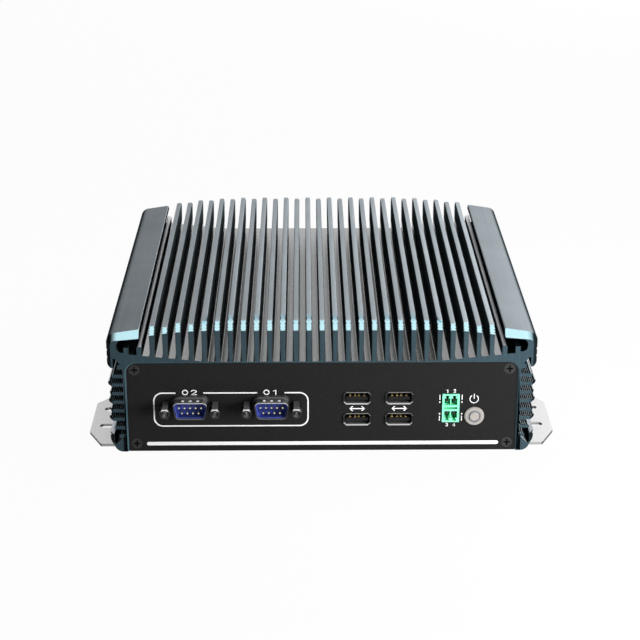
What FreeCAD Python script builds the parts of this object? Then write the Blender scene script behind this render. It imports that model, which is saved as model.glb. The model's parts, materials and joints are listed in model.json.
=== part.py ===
import FreeCAD, Part
import math
import os
from FreeCAD import Vector

os.makedirs("parts", exist_ok=True)

# Fanless industrial computer, in millimetres. X runs to the right, Y from front to back, Z up.
# The origin is on the resting surface, under the middle of the body.
# Heights are measured up from the body's underside, which the mounting ears hold off the surface.
# Depths are measured inwards from the face of the front or rear panel.

# Body extrusion: fins and heat-sink floor
body_length = 210.0
fin_count = 27
fin_pitch = 6.51
fin_thickness = 2.1
fin_height = 20.9
short_fin_drop = 1.0
fin_root_radius = 0.6
crown_flat = 40.0
crown_drop = 3.45
floor_height = 49.5
floor_flat = 58.0
floor_rise = 4.2
base_thickness = 4.5

# Body extrusion: wings, ribs beside the fins and the groove under each wing
rib_thickness = 2.45
short_rib_height = 8.1
hook_rib_height = 7.6
shoulder_width = 10.1
wing_edge_drop = 4.9
wing_outer_drop = 7.4
wing_edge_thickness = 3.8
wing_outer_thickness = 2.6
wing_corner_radius = 5.0
groove_rise = 4.9
groove_wall = 5.15
groove_radius = 2.9

# Body extrusion: side walls with ribs, lips and undercut pockets
side_slot_depth = 7.95
side_slot_gap = 2.65
side_slot_count = 8
first_slot_below_floor = 5.45
last_slot_height = 11.03
rib_setbacks = (2.4, 0.0, 0.9, 0.0, 0.9, 0.0, 2.7)
lip_thickness = 3.25
lip_below_floor = 3.3
lip_corner_radius = 1.6
pocket_top_rise = 1.7
pocket_top_width = 1.3
pocket_floor_drop = 1.7
pocket_undercut = 1.1
stub_length = 2.6
lower_lip_thickness = 2.35
lower_stub_length = 2.9
lower_stub_thickness = 1.9
lower_pocket_floor = 4.1
lower_pocket_corner = 0.9
bottom_corner_radius = 6.8
outer_groove_depth = 0.8
outer_groove_half = 0.8
outer_grooves_above_lip = (4.5, 8.3)
lower_groove_height = 8.5
wall_thickness = 3.3
boss_width = 5.9
boss_height = 3.5
foot_height = 6.2

# Body extrusion: bevelled ends
end_bevel_run = 3.8
end_bevel_top = 4.3
end_bevel_side = 2.3
end_crown_flat = 55.5
end_crown_drop = 2.55
end_wing_edge_bevel = 3.5
end_wing_outer_bevel = 2.35

# Panels and bottom plate
panel_thickness = 2.0
panel_recess = 0.7
panel_rim = 1.75
panel_top_rim = 1.2
panel_corner_radius = 5.0
panel_clearance = 0.15
plate_thickness = 1.8
plate_inset = 0.5
plate_clearance = 0.2

# Countersunk screws with a cross recess
screw_thread = 3.0
screw_head = 5.6
screw_clearance = 0.1
panel_screw_length = 10.0
panel_screw_side = 3.95
panel_screw_low = 4.2
panel_screw_top = 3.5
plate_screw_length = 6.0
plate_screw_y = 22.0
drive_screw_length = 4.0
recess_length = 3.5
recess_width = 0.85
recess_depth = 0.7

# Mounting ears
ear_thickness = 1.5
ear_reach = 13.3
ear_inner = 22.5
ear_front = 9.3
ear_front_chamfer_x = 7.4
ear_front_chamfer_y = 15.1
ear_length = 58.8
ear_rear_chamfer_x = 7.0
ear_rear_chamfer_y = 8.4
ear_corner_radius = 1.5
ear_slot_width = 4.5
ear_slot_length = 9.0
ear_slot_margin = 4.55
ear_slot_y = 22.0
keyhole_radius = 4.0
keyhole_neck_radius = 2.0
keyhole_y = 43.0
keyhole_centre = 10.5
keyhole_run = 3.7
ear_screw_y = (12.0, 47.0)

# Serial and video ports, with hexagonal jackscrews
serial_centres = (-25.4, -66.2)
connector_height = 25.05
video_centre = 42.0
shell_width = 18.2
shell_height = 9.2
shell_wall = 0.5
shell_corner = 2.6
shell_slant = math.tan(math.radians(10.0))
shell_reach = 7.0
collar_margin = 1.0
collar_reach = 1.3
cutout_clearance = 0.2
flange_beside_stud = 2.9
flange_height = 12.5
flange_thickness = 1.0
insert_clearance = 0.1
insert_wall = 0.5
insert_rim_depth = 0.7
insert_face_reach = 1.2
insert_body_width = 19.0
insert_body_height = 10.4
pin_pitch = 2.77
pin_row_spacing = 2.84
pin_diameter = 0.8
pin_recess = 1.0
socket_pitch = 2.29
socket_row_spacing = 1.98
socket_diameter = 0.9
socket_depth = 2.0
jackscrew_spacing = 24.99
jackscrew_flats = 4.9
jackscrew_reach = 10.5
jackscrew_collar = 0.8
jackscrew_collar_diameter = 4.5
jackscrew_bore = 2.6
jackscrew_bore_depth = 6.5
jackscrew_lead_in = 0.5
jackscrew_stud = 2.9
jackscrew_stud_length = 6.0
port_depth = 12.0

# Host ports, two columns of two
host_columns = (17.7, 38.95)
host_rows = (17.4, 29.0)
host_frame_width = 13.9
host_frame_height = 6.7
host_frame_corner = 1.2
host_frame_reach = 0.3
host_frame_thickness = 0.6
host_opening_width = 12.5
host_opening_height = 5.2
host_wall = 0.35
host_tongue_width = 11.0
host_tongue_thickness = 1.9
host_tongue_top = 0.4
host_tongue_recess = 0.9
host_carrier_depth = 9.5
host_contact_offsets = (-3.5, -1.0, 1.0, 3.5)
host_contact_width = 1.0
host_contact_thickness = 0.25
host_contact_depths = (1.6, 8.0)

# Double-deck terminal block
terminal_centre = 65.0
terminal_height = 23.4
terminal_width = 8.7
terminal_tall = 15.4
terminal_reach = 0.5
way_offset = 1.78
way_half_width = 1.5
way_inner = 1.6
way_outer = 5.4
key_top = 6.9
key_half_width = 0.6
key_top_half_width = 1.2
divider_set_back = 1.2
way_depth = 9.0
middle_slot_half = 0.6
middle_slot_width = 6.6
middle_slot_depth = 3.0
terminal_pin = 1.0
terminal_pin_front = 1.5

# Power button
button_centre = 77.0
button_height = 19.0
bezel_diameter = 10.0
bezel_reach = 1.1
bezel_chamfer = 0.5
barrel_diameter = 8.0
barrel_length = 9.0
ring_diameter = 6.9
ring_depth = 2.0
ring_clearance = 0.05
cap_diameter = 5.0
cap_clearance = 0.3
cap_length = 3.6
cap_dome = 0.4
cap_travel = 1.2
stem_diameter = 2.4
stem_clearance = 0.4
housing_diameter = 8.0
housing_length = 7.0
spring_wire = 0.45
spring_turns = 5
spring_clearance = 0.25
spring_end_gap = 0.15
nut_flats = 11.0
nut_thickness = 2.0
nut_clearance = 0.15

# Boards and what they carry
standoff_height = 12.0
standoff_diameter = 6.0
board_thickness = 1.6
board_margin = 5.6
board_front_gap = 0.4
board_rear_gap = 2.3
standoff_inset = 5.0
board_screw_head = 5.5
board_screw_head_height = 2.0
board_screw_length = 6.0
port_board_left = -84.0
port_board_right = 70.5
port_board_gap = 1.0
link_width = 40.0
link_height = 5.6
link_overlap = 8.0
processor_size = 37.5
processor_thickness = 2.0
thermal_pad_thickness = 0.5
spreader_size = 60.0
memory_x = 48.0
memory_socket_width = 8.0
memory_socket_height = 5.6
memory_length = 67.6
memory_width = 30.0
memory_thickness = 1.0
memory_lift = 3.1
memory_grip = 3.8
memory_clearance = 0.1
memory_arm_width = 2.0
memory_ledge = 3.0
memory_chip_size = 11.0
memory_chip_thickness = 1.1
memory_chip_count = 4
drive_length = 100.0
drive_width = 69.85
drive_thickness = 7.0
drive_y = -20.0
drive_screw_inset_x = 4.0
drive_screw_inset_y = 14.0
cell_x = -58.0
cell_from_board_front = 30.0
cell_diameter = 20.0
cell_thickness = 3.2
holder_wall = 1.5
holder_floor = 1.0
cell_clearance = 0.3

# Rear ports that stand on the main board
network_centres = (-8.0, 12.0)
network_width = 16.0
network_tall = 13.5
network_length = 21.0
network_reach = 0.4
network_wall = 0.4
jack_width = 11.8
jack_tall = 8.0
jack_latch_tall = 1.5
jack_latch_width = 5.9
jack_depth = 13.0
jack_rise = 2.4
network_insert_clearance = 0.05
inlet_centre = -66.0
inlet_width = 9.4
inlet_tall = 11.0
inlet_length = 14.0
inlet_axis = 6.0
inlet_nose = 8.6
inlet_reach = 0.4
inlet_bore = 6.4
inlet_bore_depth = 10.0
inlet_pin = 2.0

# Places that follow from the sizes above
fin_reach = (fin_count - 1) / 2 * fin_pitch
fin_field = fin_reach + fin_thickness / 2
short_rib_x = fin_reach + fin_pitch
hook_rib_x = short_rib_x + fin_pitch
body_half = hook_rib_x + shoulder_width
wall_face = body_half - side_slot_depth
inner_half = wall_face - wall_thickness
fin_top = floor_height + fin_height
ceiling = floor_height - base_thickness
foot_top = plate_thickness + foot_height
panel_half = wall_face - panel_rim
panel_height = floor_height - panel_top_rim
plate_half = panel_half - plate_inset
body_front = -body_length / 2
panel_face = body_front + panel_recess
panel_seat = panel_face + panel_thickness
panel_screw_x = panel_half - panel_screw_side
panel_screw_heights = (panel_screw_low, panel_height - panel_screw_top)
screw_head_depth = (screw_head - screw_thread) / 2
ear_outer = body_half + ear_reach
ear_y = body_front + ear_front
foot_screw_x = inner_half - boss_width / 2
board_half = inner_half - boss_width - board_margin
board_bottom = plate_thickness + standoff_height
board_top = board_bottom + board_thickness
port_board_face = panel_face + port_depth
port_board_back = port_board_face + board_thickness
button_back = panel_face + barrel_length + housing_length
board_front = max(port_board_back, button_back) + board_front_gap
board_rear = -panel_seat - board_rear_gap
cell_y = board_front + cell_from_board_front
flange_width = jackscrew_spacing + 2 * flange_beside_stud
barrel_bore = cap_diameter + 2 * cap_clearance
beyond = 1.0
nearly_half_round = 0.98
inwards = Vector(0, 1, 0)
up = Vector(0, 0, 1)


def corner_points(before, corner, after, radius):
    """Start, middle and end of the arc that rounds a corner; all three are the corner when it is sharp."""
    if radius == 0:
        return corner, corner, corner
    to_before = (before - corner).normalize()
    to_after = (after - corner).normalize()
    half_angle = to_before.getAngle(to_after) / 2
    inward = (to_before + to_after).normalize()
    tangent = radius / math.tan(half_angle)
    middle = corner + inward * (radius / math.sin(half_angle) - radius)
    return corner + to_before * tangent, middle, corner + to_after * tangent


def outline(corners, to_point):
    """Closed wire through corners (a, b) or (a, b, radius); to_point places a and b in space."""
    points = [to_point(corner[0], corner[1]) for corner in corners]
    radii = [corner[2] if len(corner) > 2 else 0 for corner in corners]
    count = len(points)
    arcs = []
    for i in range(count):
        arcs.append(corner_points(points[i - 1], points[i], points[(i + 1) % count], radii[i]))
    edges = []
    for i in range(count):
        start, middle, end = arcs[i]
        if radii[i] > 0:
            edges.append(Part.Arc(start, middle, end).toShape())
        following = arcs[(i + 1) % count][0]
        if end.distanceToPoint(following) > 1e-6:
            edges.append(Part.LineSegment(end, following).toShape())
    return Part.Wire(edges)


def front_wire(corners, y):
    """Outline in a plane across the body, from widths and heights."""
    return outline(corners, lambda a, b: Vector(a, y, ear_thickness + b))


def front_face(corners, y=body_front):
    return Part.Face(front_wire(corners, y))


def upright_face(x0, x1, z0, z1):
    return front_face([(x0, z0), (x1, z0), (x1, z1), (x0, z1)])


def prism(corners, y0, y1):
    """Front outline carried from y0 to y1."""
    return front_face(corners, y0).extrude(Vector(0, y1 - y0, 0))


def plate(corners, z0, z1):
    """Plan outline carried from height z0 to z1."""
    wire = outline(corners, lambda a, b: Vector(a, b, ear_thickness + z0))
    return Part.Face(wire).extrude(Vector(0, 0, z1 - z0))


def box(x0, x1, y0, y1, z0, z1):
    return Part.makeBox(x1 - x0, y1 - y0, z1 - z0, Vector(x0, y0, ear_thickness + z0))


def rectangle(x, z, width, tall, radius=0):
    """Corners of an upright rectangle about a centre."""
    half, rise = width / 2, tall / 2
    return [(x - half, z - rise, radius), (x + half, z - rise, radius),
            (x + half, z + rise, radius), (x - half, z + rise, radius)]


def rod_y(x, z, diameter, y0, y1):
    return Part.makeCylinder(diameter / 2, y1 - y0, Vector(x, y0, ear_thickness + z), inwards)


def rod_z(x, y, diameter, z0, z1):
    return Part.makeCylinder(diameter / 2, z1 - z0, Vector(x, y, ear_thickness + z0))


def placed(shape, x, y, z, direction):
    """Copy of a piece made along +Z, moved to a place and turned to a direction."""
    copy = shape.copy()
    turn = FreeCAD.Rotation(Vector(0, 0, 1), direction)
    copy.Placement = FreeCAD.Placement(Vector(x, y, ear_thickness + z), turn).multiply(copy.Placement)
    return copy


def mirrored(shape):
    return shape.mirror(Vector(0, 0, 0), Vector(1, 0, 0))


def turned_to_rear(shape):
    copy = shape.copy()
    copy.rotate(Vector(0, 0, 0), Vector(0, 0, 1), 180)
    return copy


def save(name, shapes):
    """Write one node; a list becomes a group of separate solids."""
    solid = Part.makeCompound(shapes) if isinstance(shapes, list) else shapes
    solid.exportStep("parts/" + name + ".step")


# Screws

def countersunk_screw(length):
    """Flat-head screw along +Z, with the top of its head at zero."""
    head = Part.makeCone(screw_head / 2, screw_thread / 2, screw_head_depth)
    shank = Part.makeCylinder(screw_thread / 2, length - screw_head_depth, Vector(0, 0, screw_head_depth))
    corner = Vector(-recess_length / 2, -recess_width / 2, 0)
    arm = Part.makeBox(recess_length, recess_width, recess_depth, corner)
    cross_corner = Vector(-recess_width / 2, -recess_length / 2, 0)
    cross_arm = Part.makeBox(recess_width, recess_length, recess_depth, cross_corner)
    return head.fuse(shank).cut([arm, cross_arm]).removeSplitter()


def countersunk_hole(length):
    """Clearance for a flat-head screw along +Z."""
    gap = screw_clearance
    cone = Part.makeCone(screw_head / 2 + gap, screw_thread / 2 + gap, screw_head_depth)
    bore = Part.makeCylinder(screw_thread / 2 + gap, length)
    return cone.fuse(bore)


def pilot_hole(length):
    return Part.makeCylinder(screw_thread / 2 + screw_clearance, length + screw_clearance)


def panel_screw_places():
    return [(side * panel_screw_x, height) for side in (-1, 1) for height in panel_screw_heights]


def ear_screw_places():
    """Plan places of the screws that hold the four ears."""
    places = []
    for side in (-1, 1):
        for end in (-1, 1):
            places += [(side * foot_screw_x, -end * (ear_y + along)) for along in ear_screw_y]
    return places


def plate_screw_places():
    return [(side * foot_screw_x, end * plate_screw_y) for side in (-1, 1) for end in (-1, 1)]


def drive_screw_places():
    reach_x = drive_width / 2 - drive_screw_inset_x
    reach_y = drive_length / 2 - drive_screw_inset_y
    return [(side * reach_x, drive_y + end * reach_y) for side in (-1, 1) for end in (-1, 1)]


# Body extrusion

def floor_at(x):
    """Height of the heat-sink floor, level in the middle and rising to the sides."""
    climb = max(abs(x) - floor_flat, 0) / (hook_rib_x - floor_flat)
    return floor_height + climb * floor_rise


def wing_underside(x):
    """Height of the underside of a wing, which thins towards the outside."""
    edge = fin_top - wing_edge_drop - wing_edge_thickness
    outer = fin_top - wing_outer_drop - wing_outer_thickness
    share = (x - short_rib_x) / (body_half - short_rib_x)
    return edge + share * (outer - edge)


def crown_corner(flat, drop):
    """Corner and radius of the arc from the level middle of the crown to its lower edge."""
    corner_x = (flat + fin_field) / 2
    turn = math.atan(drop / (fin_field - corner_x))
    return corner_x, (corner_x - flat) / math.tan(turn / 2)


def crown_at(x):
    """Height of the tall fins' tops: level, then an arc down to the outermost fin."""
    radius = crown_corner(crown_flat, crown_drop)[1]
    along = max(abs(x) - crown_flat, 0)
    return fin_top - radius + math.sqrt(radius ** 2 - along ** 2)


def envelope_corners(bevel):
    """Outside contour of the body, whole, or drawn in by the end bevel."""
    flat, drop, top, side = crown_flat, crown_drop, fin_top, body_half
    edge, outer = fin_top - wing_edge_drop, fin_top - wing_outer_drop
    shoulder, foot = wing_corner_radius, bottom_corner_radius
    if bevel:
        flat, drop = end_crown_flat, end_crown_drop
        top, side = top - end_bevel_top, side - end_bevel_side
        edge, outer = edge - end_wing_edge_bevel, outer - end_wing_outer_bevel
        shoulder, foot = shoulder - end_bevel_side, foot - end_bevel_side
    corner_x, radius = crown_corner(flat, drop)
    right = [(corner_x, top, radius), (fin_field, top - drop, 0), (short_rib_x, edge, 0),
             (side, outer, shoulder), (side, 0, foot)]
    return right + [(-x, z, r) for x, z, r in reversed(right)]


def fin_cuts():
    """Gaps between neighbouring fins, and what is taken off every second fin."""
    faces = []
    for i in range(fin_count):
        x = -fin_reach + i * fin_pitch
        left, right = x - fin_thickness / 2, x + fin_thickness / 2
        if i % 2 == 1:
            faces.append(upright_face(left, right, crown_at(x) - short_fin_drop, fin_top + beyond))
        if i < fin_count - 1:
            far = left + fin_pitch
            faces.append(front_face([
                (right, floor_at(right), fin_root_radius), (far, floor_at(far), fin_root_radius),
                (far, fin_top + beyond), (right, fin_top + beyond)]))
    return faces


def wing_cut():
    """Space beside the last fin, over the two ribs and in the round groove under the right wing."""
    half = rib_thickness / 2
    short_left, short_right = short_rib_x - half, short_rib_x + half
    hook_left, hook_right = hook_rib_x - half, hook_rib_x + half
    short_top, hook_top = floor_height + short_rib_height, floor_height + hook_rib_height
    groove_x = body_half - groove_wall
    groove_floor = floor_height + groove_rise
    return front_face([
        (fin_field, floor_at(fin_field), fin_root_radius),
        (short_left, floor_at(short_left), fin_root_radius),
        (short_left, short_top), (short_right, short_top), (short_right, floor_at(short_right)),
        (hook_left, floor_at(hook_left)), (hook_left, hook_top), (hook_right, hook_top),
        (hook_right, groove_floor), (groove_x, groove_floor, groove_radius),
        (groove_x, wing_underside(groove_x), groove_radius), (short_rib_x, wing_underside(short_rib_x)),
        (short_rib_x, fin_top + beyond), (fin_field, fin_top + beyond)])


def slot_heights():
    """Centre heights of the side slots, evenly spaced from the top one to the bottom one."""
    first = floor_height - first_slot_below_floor
    pitch = (first - last_slot_height) / (side_slot_count - 1)
    return [first - pitch * i for i in range(side_slot_count)]


def rib_end_cut(top, bottom, setback):
    """What is cut off outside the rounded end of one side rib."""
    tip = body_half - setback
    round_end = (top - bottom) / 2
    waste = upright_face(tip - round_end, body_half + beyond, bottom, top)
    radius = round_end * nearly_half_round
    rib = [(wall_face, bottom), (tip, bottom, radius), (tip, top, radius), (wall_face, top)]
    return waste.cut(front_face(rib))


def side_cuts():
    """Slots, rib ends, undercut pockets and outer grooves of the right side wall."""
    outside = body_half + beyond
    half = side_slot_gap / 2
    heights = slot_heights()
    faces = []
    for z in heights[1:-1]:
        faces.append(upright_face(wall_face, outside, z - half, z + half))
    for upper, lower, setback in zip(heights, heights[1:], rib_setbacks):
        faces.append(rib_end_cut(upper - half, lower + half, setback))
    lip_x, lip_bottom = body_half - lip_thickness, floor_height - lip_below_floor
    top, bottom = heights[0] + half, heights[0] - half
    pocket_floor, pocket_top = floor_height - pocket_floor_drop, floor_height + pocket_top_rise
    faces.append(front_face([
        (outside, bottom), (outside, lip_bottom + 2 * lip_corner_radius),
        (body_half, lip_bottom + 2 * lip_corner_radius), (body_half, lip_bottom, lip_corner_radius),
        (lip_x, lip_bottom), (lip_x, pocket_top), (lip_x - pocket_top_width, pocket_top),
        (wall_face + pocket_undercut, pocket_floor), (wall_face + stub_length, pocket_floor),
        (wall_face + stub_length, top), (wall_face, top), (wall_face, bottom)]))
    top, bottom = heights[-1] + half, heights[-1] - half
    pocket_x, stub_x = body_half - lower_lip_thickness, wall_face + lower_stub_length
    stub_bottom = bottom - lower_stub_thickness
    faces.append(front_face([
        (outside, bottom), (outside, top), (wall_face, top), (wall_face, bottom), (stub_x, bottom),
        (stub_x, stub_bottom), (wall_face + pocket_undercut, stub_bottom),
        (pocket_x - lower_pocket_corner, lower_pocket_floor),
        (pocket_x, lower_pocket_floor + lower_pocket_corner), (pocket_x, bottom)]))
    grooves = [lip_bottom + rise for rise in outer_grooves_above_lip] + [lower_groove_height]
    for z in grooves:
        faces.append(front_face([
            (outside, z - outer_groove_half), (outside, z + outer_groove_half),
            (body_half, z + outer_groove_half), (body_half - outer_groove_depth, z),
            (body_half, z - outer_groove_half)]))
    return faces


def cavity_corners():
    """Inside of the body with a screw boss in each upper corner and a foot along each side."""
    plate_side = plate_half + plate_clearance
    boss_x = inner_half - boss_width
    right = [(plate_side, -beyond), (plate_side, plate_thickness), (boss_x, plate_thickness),
             (boss_x, foot_top), (inner_half, foot_top), (inner_half, ceiling - boss_height),
             (boss_x, ceiling - boss_height), (boss_x, ceiling)]
    return right + [(-x, z) for x, z in reversed(right)]


def panel_corners(grow, bottom):
    """Outline of a panel, or of its pocket when it is grown by a clearance."""
    half, top, radius = panel_half + grow, panel_height + grow, panel_corner_radius + grow
    return [(-half, bottom), (half, bottom), (half, top, radius), (-half, top, radius)]


def panel_pocket():
    """Milled seat of the front panel with a chamfered mouth."""
    seat = prism(panel_corners(panel_clearance, -beyond), body_front - beyond, panel_seat)
    mouth = Part.makeLoft([front_wire(panel_corners(panel_clearance + panel_recess, -beyond), body_front),
                           front_wire(panel_corners(panel_clearance, -beyond), panel_face)], True, True)
    return seat.fuse(mouth)


def body_extrusion():
    right = [wing_cut()] + side_cuts()
    cuts = fin_cuts() + right + [mirrored(face) for face in right] + [front_face(cavity_corners())]
    section = front_face(envelope_corners(False)).cut(cuts)
    body = section.Faces[0].extrude(Vector(0, body_length, 0))
    run = end_bevel_run
    envelope = Part.makeLoft([
        front_wire(envelope_corners(True), body_front),
        front_wire(envelope_corners(False), body_front + run),
        front_wire(envelope_corners(False), -body_front - run),
        front_wire(envelope_corners(True), -body_front)], True, True)
    pocket = panel_pocket()
    tools = [pocket, turned_to_rear(pocket)]
    for x, z in panel_screw_places():
        hole = placed(pilot_hole(panel_screw_length), x, panel_face, z, inwards)
        tools += [hole, turned_to_rear(hole)]
    for x, y in ear_screw_places() + plate_screw_places():
        tools.append(placed(pilot_hole(plate_screw_length), x, y, 0, up))
    return body.common(envelope).cut(tools).removeSplitter()


# Panels, bottom plate and ears

def connector_corners(x, z, width, tall, corner):
    """D-shaped outline, wide at the top, with sides that slant in to the bottom."""
    top = width / 2
    bottom = top - tall * shell_slant
    return [(x - bottom, z - tall / 2, corner), (x + bottom, z - tall / 2, corner),
            (x + top, z + tall / 2, corner), (x - top, z + tall / 2, corner)]


def collar_corners(x, grow):
    """Outline of the flared base of a connector shell."""
    margin = 2 * (collar_margin + grow)
    return connector_corners(x, connector_height, shell_width + margin, shell_height + margin,
                             shell_corner + collar_margin + grow)


def panel_cut(corners):
    return prism(corners, panel_face - beyond, panel_seat + beyond)


def connector_cuts(x):
    """Cut-out of a D-shaped connector and the holes of its two jackscrews."""
    cuts = [panel_cut(collar_corners(x, cutout_clearance))]
    for side in (-1, 1):
        stud_x = x + side * jackscrew_spacing / 2
        hole = jackscrew_stud + 2 * cutout_clearance
        cuts.append(rod_y(stud_x, connector_height, hole, panel_face - beyond, panel_seat + beyond))
    return cuts


def bare_panel():
    """Panel blank with its four countersunk screw holes."""
    blank = prism(panel_corners(0, 0), panel_face, panel_seat)
    hole = countersunk_hole(panel_screw_length)
    return blank.cut([placed(hole, x, panel_face, z, inwards) for x, z in panel_screw_places()])


def front_panel():
    cuts = connector_cuts(serial_centres[0]) + connector_cuts(serial_centres[1])
    gap = 2 * cutout_clearance
    for x in host_columns:
        for z in host_rows:
            frame = rectangle(x, z, host_frame_width + gap, host_frame_height + gap, host_frame_corner)
            cuts.append(panel_cut(frame))
    terminal = rectangle(terminal_centre, terminal_height, terminal_width + gap, terminal_tall + gap)
    cuts.append(panel_cut(terminal))
    barrel = barrel_diameter + gap
    cuts.append(rod_y(button_centre, button_height, barrel, panel_face - beyond, panel_seat + beyond))
    return bare_panel().cut(cuts)


def rear_panel():
    """Rear panel, made as seen from behind and turned to its place."""
    cuts = connector_cuts(video_centre)
    gap = 2 * cutout_clearance
    for x in network_centres:
        middle = board_top + network_tall / 2
        cuts.append(panel_cut(rectangle(x, middle, network_width + gap, network_tall + gap)))
    axis = board_top + inlet_axis
    cuts.append(rod_y(inlet_centre, axis, inlet_nose + gap, panel_face - beyond, panel_seat + beyond))
    return turned_to_rear(bare_panel().cut(cuts))


def bottom_plate():
    end = -panel_seat - plate_clearance
    sheet = box(-plate_half, plate_half, -end, end, 0, plate_thickness)
    own = countersunk_hole(plate_thickness + beyond)
    through = pilot_hole(plate_thickness + beyond)
    holes = [placed(own, x, y, 0, up) for x, y in plate_screw_places() + drive_screw_places()]
    holes += [placed(through, x, y, 0, up) for x, y in ear_screw_places()]
    return sheet.cut(holes)


def round_slot(x, y, length, width, z0, z1):
    """Slot along X with round ends."""
    reach = (length - width) / 2
    ends = [rod_z(x + side * reach, y, width, z0, z1) for side in (-1, 1)]
    return box(x - reach, x + reach, y - width / 2, y + width / 2, z0, z1).fuse(ends)


def front_right_ear():
    """Flat ear with a plain slot and a keyhole outside the body."""
    y0, y1 = ear_y, ear_y + ear_length
    inner, outer, radius = body_half - ear_inner, ear_outer, ear_corner_radius
    sheet = plate([
        (inner, y0), (outer - ear_front_chamfer_x, y0, radius), (outer, y0 + ear_front_chamfer_y, radius),
        (outer, y1 - ear_rear_chamfer_y, radius), (outer - ear_rear_chamfer_x, y1, radius), (inner, y1)],
        -ear_thickness, 0)
    low, high = -ear_thickness - beyond, beyond
    slot_middle = outer - ear_slot_margin - ear_slot_length / 2
    slot = round_slot(slot_middle, y0 + ear_slot_y, ear_slot_length, ear_slot_width, low, high)
    key_x, key_y = outer - keyhole_centre, y0 + keyhole_y
    eye = rod_z(key_x, key_y, 2 * keyhole_radius, low, high)
    neck_width = 2 * keyhole_neck_radius
    neck = round_slot(key_x + keyhole_run / 2, key_y, keyhole_run + neck_width, neck_width, low, high)
    hole = countersunk_hole(ear_thickness + beyond)
    screws = [placed(hole, foot_screw_x, y0 + along, -ear_thickness, up) for along in ear_screw_y]
    return sheet.cut([slot, eye.fuse(neck)] + screws)


# D-shaped connectors

def connector_shell(x):
    """Plated shell with a flared base and a flange that lies against the back of the panel."""
    z = connector_height
    outer = prism(connector_corners(x, z, shell_width, shell_height, shell_corner),
                  panel_face - shell_reach, panel_face)
    collar = prism(collar_corners(x, 0), panel_face - collar_reach, panel_seat)
    flange = prism(rectangle(x, z, flange_width, flange_height), panel_seat, panel_seat + flange_thickness)
    wall = 2 * shell_wall
    hollow = connector_corners(x, z, shell_width - wall, shell_height - wall, shell_corner - shell_wall)
    inside = prism(hollow, panel_face - shell_reach - beyond, panel_seat + flange_thickness + beyond)
    cuts = [inside]
    for side in (-1, 1):
        stud_x = x + side * jackscrew_spacing / 2
        hole = jackscrew_stud + 2 * insert_clearance
        cuts.append(rod_y(stud_x, z, hole, panel_seat - beyond, panel_seat + flange_thickness + beyond))
    return outer.fuse([collar, flange]).cut(cuts).removeSplitter()


def connector_insert(x, face_reach, lining):
    """Moulded insert: a face inside the shell, a body behind the flange, and a lining round free pins."""
    z = connector_height
    less = 2 * (shell_wall + insert_clearance)
    corner = shell_corner - shell_wall - insert_clearance
    width, tall = shell_width - less, shell_height - less
    back = panel_seat + flange_thickness
    rim = panel_face - shell_reach + insert_rim_depth
    face = panel_face - face_reach
    plug = prism(connector_corners(x, z, width, tall, corner), rim if lining else face, back)
    body = prism(rectangle(x, z, insert_body_width, insert_body_height), back, port_board_face)
    insert = plug.fuse(body)
    if lining:
        wall = 2 * insert_wall
        hollow = connector_corners(x, z, width - wall, tall - wall, corner - insert_wall)
        insert = insert.cut(prism(hollow, rim - beyond, face))
    return insert.removeSplitter()


def serial_pins(x):
    """Nine round pins in rows of five and four."""
    front, back = panel_face - shell_reach + pin_recess, panel_face - insert_face_reach
    pins = []
    for count, side in ((5, 1), (4, -1)):
        z = connector_height + side * pin_row_spacing / 2
        for i in range(count):
            pins.append(rod_y(x + (i - (count - 1) / 2) * pin_pitch, z, pin_diameter, front, back))
    return pins


def video_insert(x):
    """Solid insert with three rows of five contact holes, standing on the main board."""
    face = shell_reach - insert_rim_depth
    insert = connector_insert(x, face, False)
    front = panel_face - face
    holes = []
    for row in (-1, 0, 1):
        z = connector_height + row * socket_row_spacing
        for i in range(5):
            hole_x = x + (i - 2 + row * 0.25) * socket_pitch
            holes.append(rod_y(hole_x, z, socket_diameter, front - beyond, front + socket_depth))
    half = insert_body_width / 2
    back = panel_seat + flange_thickness
    leg = box(x - half, x + half, back, port_board_face, board_top, connector_height)
    return insert.fuse(leg).cut(holes).removeSplitter()


def hexagon(flats):
    """Corners of a hexagon with two corners to the sides."""
    radius = flats / 2 / math.cos(math.radians(30))
    turns = [math.radians(60 * i) for i in range(6)]
    return [(radius * math.cos(turn), radius * math.sin(turn)) for turn in turns]


def hexagon_prism(flats, z0, z1):
    wire = outline(hexagon(flats), lambda a, b: Vector(a, b, z0))
    return Part.Face(wire).extrude(Vector(0, 0, z1 - z0))


def jackscrew():
    """Hexagonal jackscrew along +Z: the hexagon in front of the panel, the stud through it."""
    shoulder = -jackscrew_reach + jackscrew_collar
    body = hexagon_prism(jackscrew_flats, shoulder, 0)
    collar = cylinder(jackscrew_collar_diameter, -jackscrew_reach, shoulder)
    stud = cylinder(jackscrew_stud, 0, jackscrew_stud_length)
    bore = cylinder(jackscrew_bore, -jackscrew_reach, jackscrew_bore_depth - jackscrew_reach)
    radius, lead = jackscrew_bore / 2, jackscrew_lead_in
    mouth = Part.makeCone(radius + lead, radius, lead, Vector(0, 0, -jackscrew_reach))
    return body.fuse([collar, stud]).cut([bore, mouth]).removeSplitter()


def jackscrews(x):
    places = [x + side * jackscrew_spacing / 2 for side in (-1, 1)]
    return [placed(jackscrew(), place, panel_face, connector_height, inwards) for place in places]


# Host ports

def host_shell(x, z):
    """Sheet-metal shell with a frame at its mouth."""
    mouth = panel_face - host_frame_reach
    frame = prism(rectangle(x, z, host_frame_width, host_frame_height, host_frame_corner),
                  mouth, mouth + host_frame_thickness)
    wall = 2 * host_wall
    width, tall = host_opening_width, host_opening_height
    tube = prism(rectangle(x, z, width + wall, tall + wall), mouth, port_board_face)
    hollow = prism(rectangle(x, z, width, tall), mouth - beyond, port_board_face + beyond)
    return frame.fuse(tube).cut(hollow).removeSplitter()


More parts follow.
